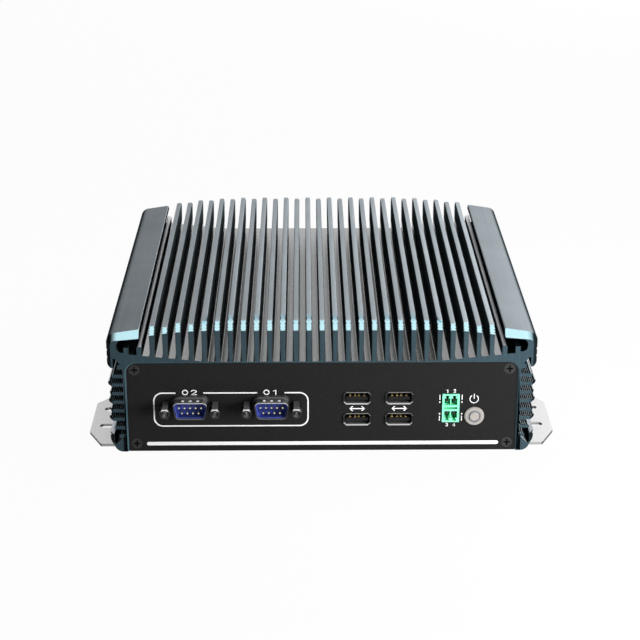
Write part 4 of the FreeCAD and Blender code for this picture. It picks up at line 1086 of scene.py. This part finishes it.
def numeral(digit, x, z, tall, wide=1.0):
    """Strokes of a plain numeral, its middle at x and z; wide stretches it sideways."""
    shapes = {
        "0": arc(0, 0, 0.26, 0.42, 0, 345, 40),
        "1": np.array([(-0.16, 0.22), (0.06, 0.42), (0.06, -0.42)]),
        "2": np.concatenate([arc(0, 0.17, 0.25, 0.25, 165, -35), [(-0.25, -0.42), (0.27, -0.42)]]),
        "3": np.concatenate([arc(0, 0.20, 0.23, 0.22, 150, -85, 16),
                             arc(0, -0.20, 0.26, 0.22, 85, -150, 16)]),
        "4": np.array([(0.28, -0.18), (-0.28, -0.18), (0.12, 0.42), (0.12, -0.42)]),
    }
    return stroke(shapes[digit] * (wide * tall, tall) + (x, z), 0.18 * tall)


def numerals(digits, x, z, apart, tall, wide=1.0):
    """Two numerals side by side, each one spacing from x."""
    return [numeral(digit, x + side * apart, z, tall, wide) for digit, side in zip(digits, (-1, 1))]


def frame_strokes(top):
    """Frame line round the serial ports, broken above each port for its numerals."""
    low, steps = underside + frame_low, 12
    corners = [(frame_right, top), (frame_left, top), (frame_left, low), (frame_right, low)]
    line = rounded([(x, z, frame_corner) for x, z in corners], steps)
    (first, second), (third, fourth) = frame_gaps
    around = np.concatenate([[(first, top)], line[steps + 1:], line[:steps + 1], [(fourth, top)]])
    return [stroke(path, frame_width) for path in (around, [(second, top), (third, top)])]


def printed_marks():
    """White print: a stripe, a frame line round the serial ports, numerals, bars beside the terminal block,
    the on-off symbol over the button, and two-way arrows between the host ports."""
    z, top = underside + stripe_level, underside + frame_high
    parts = [stroke([(-88.1, z), (88.7, z)], stripe_width)] + frame_strokes(top)
    for gap, digits in zip(frame_gaps, ("02", "01")):
        parts += numerals(digits, sum(gap) / 2, top + 0.3, 2.2, 2.9, 1.7)
    x, z = terminal_place
    for bar_x in (x - bar_from_middle, x + bar_from_middle):
        for level in (-1, 1):
            parts.append(stroke([(bar_x, z + level * 7.0), (bar_x, z + level * 4.6)], 0.4))
            parts.append(stroke([(bar_x, z + level * 3.25), (bar_x, z + level * 3.15)], 0.65))
    for level, digits in ((1, "12"), (-1, "34")):
        parts += numerals(digits, x, z + level * 9.3, 1.8, 1.9)
    x, z = button_place[0] - 0.3, underside + symbol_level
    parts.append(stroke(arc(x, z, symbol_radius, symbol_radius, 125, 415, 40), symbol_width))
    parts.append(stroke([(x, z + 0.2), (x, z + 2.65)], symbol_width))
    z = sum(place[1] for place in host_places) / 4
    for x in sorted({place[0] for place in host_places}):
        parts.append(stroke([(x - 3.6, z), (x + 3.6, z)], arrow_width))
        for barb, tip in ((x - 2.4, x - 3.8), (x + 2.4, x + 3.8)):
            parts.append(stroke([(barb, z + 1.1), (tip, z), (barb, z - 1.1)], arrow_width))
    add_piece("printed_marks", *joined(parts), ["white_ink"], "panel_black", crease=40)


# Studio

def area_lamp(name, place, target, size, power):
    """Soft rectangular lamp turned to a target, in metres and watts; reflections do not show it."""
    data = bpy.data.lights.new(name, "AREA")
    data.shape = "RECTANGLE"
    data.size, data.size_y = size
    data.energy = power
    lamp = linked(name, data)
    lamp.visible_camera = False
    lamp.visible_glossy = False
    lamp.location = place
    lamp.rotation_euler = (Vector(target) - Vector(place)).to_track_quat("-Z", "Y").to_euler()


def seen_rays(finish):
    """1 for a ray from the camera, a reflection or a transmission, and 0 for scattered light."""
    seen = 0.0
    for kind in ("Is Camera Ray", "Is Glossy Ray", "Is Transmission Ray"):
        ray = finish.node("ShaderNodeLightPath", {}, {}, kind)
        seen = ray.math("MAXIMUM", ray, seen)
    return seen


class World(Finish):
    """The node tree of the studio's world, with the same helpers as a finish."""

    def __init__(self, world):
        self.tree = world.node_tree
        self.shader = self.tree.nodes["Background"]


world_light = 0.12
floor_white_share = 0.965
floor_grey = 0.80


def build_world():
    """White where the camera, a reflection or glass sees it; softer as a light."""
    world = bpy.data.worlds.new("studio")
    world.use_nodes = True
    bpy.context.scene.world = world
    sky = World(world)
    seen = seen_rays(sky)
    sky.feed(Strength=world_light + seen * (1 - world_light))
    sky.shader.inputs["Color"].default_value = grey(1.0)


def build_floor():
    """Pale floor, mostly self-white to the camera so that only a faint contact shadow is left."""
    reach = 4.0
    mesh = bpy.data.meshes.new("floor")
    mesh.from_pydata([(a * reach, b * reach, 0) for a, b in square], [], [(0, 1, 2, 3)])
    floor = linked("floor", mesh)
    finish = Finish("pale_floor", Base_Color=grey(floor_grey), Roughness=0.9, Specular_IOR_Level=0.0)
    white = finish.node("ShaderNodeEmission", {}, {"Color": grey(1.0), "Strength": 1.0})
    lit = Link(finish, finish.shader.outputs[0])
    share = seen_rays(finish) * floor_white_share
    mixed = finish.node("ShaderNodeMixShader", {}, {0: share, 1: lit, 2: white})
    finish.tree.links.new(mixed.socket, finish.tree.nodes["Material Output"].inputs["Surface"])
    mesh.materials.append(finish.material)


def build_camera():
    """The photograph's camera; its pitch is a right angle less the angle by which it looks down."""
    data = bpy.data.cameras.new("photo_camera")
    data.lens = camera_lens
    data.sensor_width = camera_sensor
    data.sensor_fit = "HORIZONTAL"
    data.clip_start = 0.05
    data.clip_end = 20
    camera = linked("photo_camera", data)
    camera.location = Vector(camera_place) * mm
    camera.rotation_euler = (math.pi / 2 - camera_down, 0, -camera_right)
    bpy.context.scene.camera = camera


# Build
dress_nodes()
finned_body()
for number, place in enumerate(serial_places, 1):
    connector_trim("serial_port_%d" % number, place, panel_face, -1)
connector_trim("video_port", video_place, -panel_face, 1)
jackscrews("front_jackscrews_hex", serial_places, panel_face, -1, "front_jackscrews")
jackscrews("rear_jackscrews_hex", [video_place], -panel_face, 1, "rear_jackscrews")
host_lips()
return_spring()
printed_marks()
build_world()
build_floor()
area_lamp("top_key", (0.16, 0.05, 0.36), (0.05, 0, 0.07), (0.25, 0.35), 0.71)
area_lamp("front_fill", (0.40, -0.38, 0.10), (0.02, -0.1, 0.03), (0.4, 0.2), 4.6)
area_lamp("rear_fill", (0.9, 1.6, 0.30), (0, 0.1, 0.03), (1.0, 0.6), 28.0)
area_lamp("left_fill", (-0.90, 0.10, 0.06), (-0.1, 0, 0.03), (0.5, 0.1), 2.6)
build_camera()
bpy.context.scene.view_settings.view_transform = "Standard"
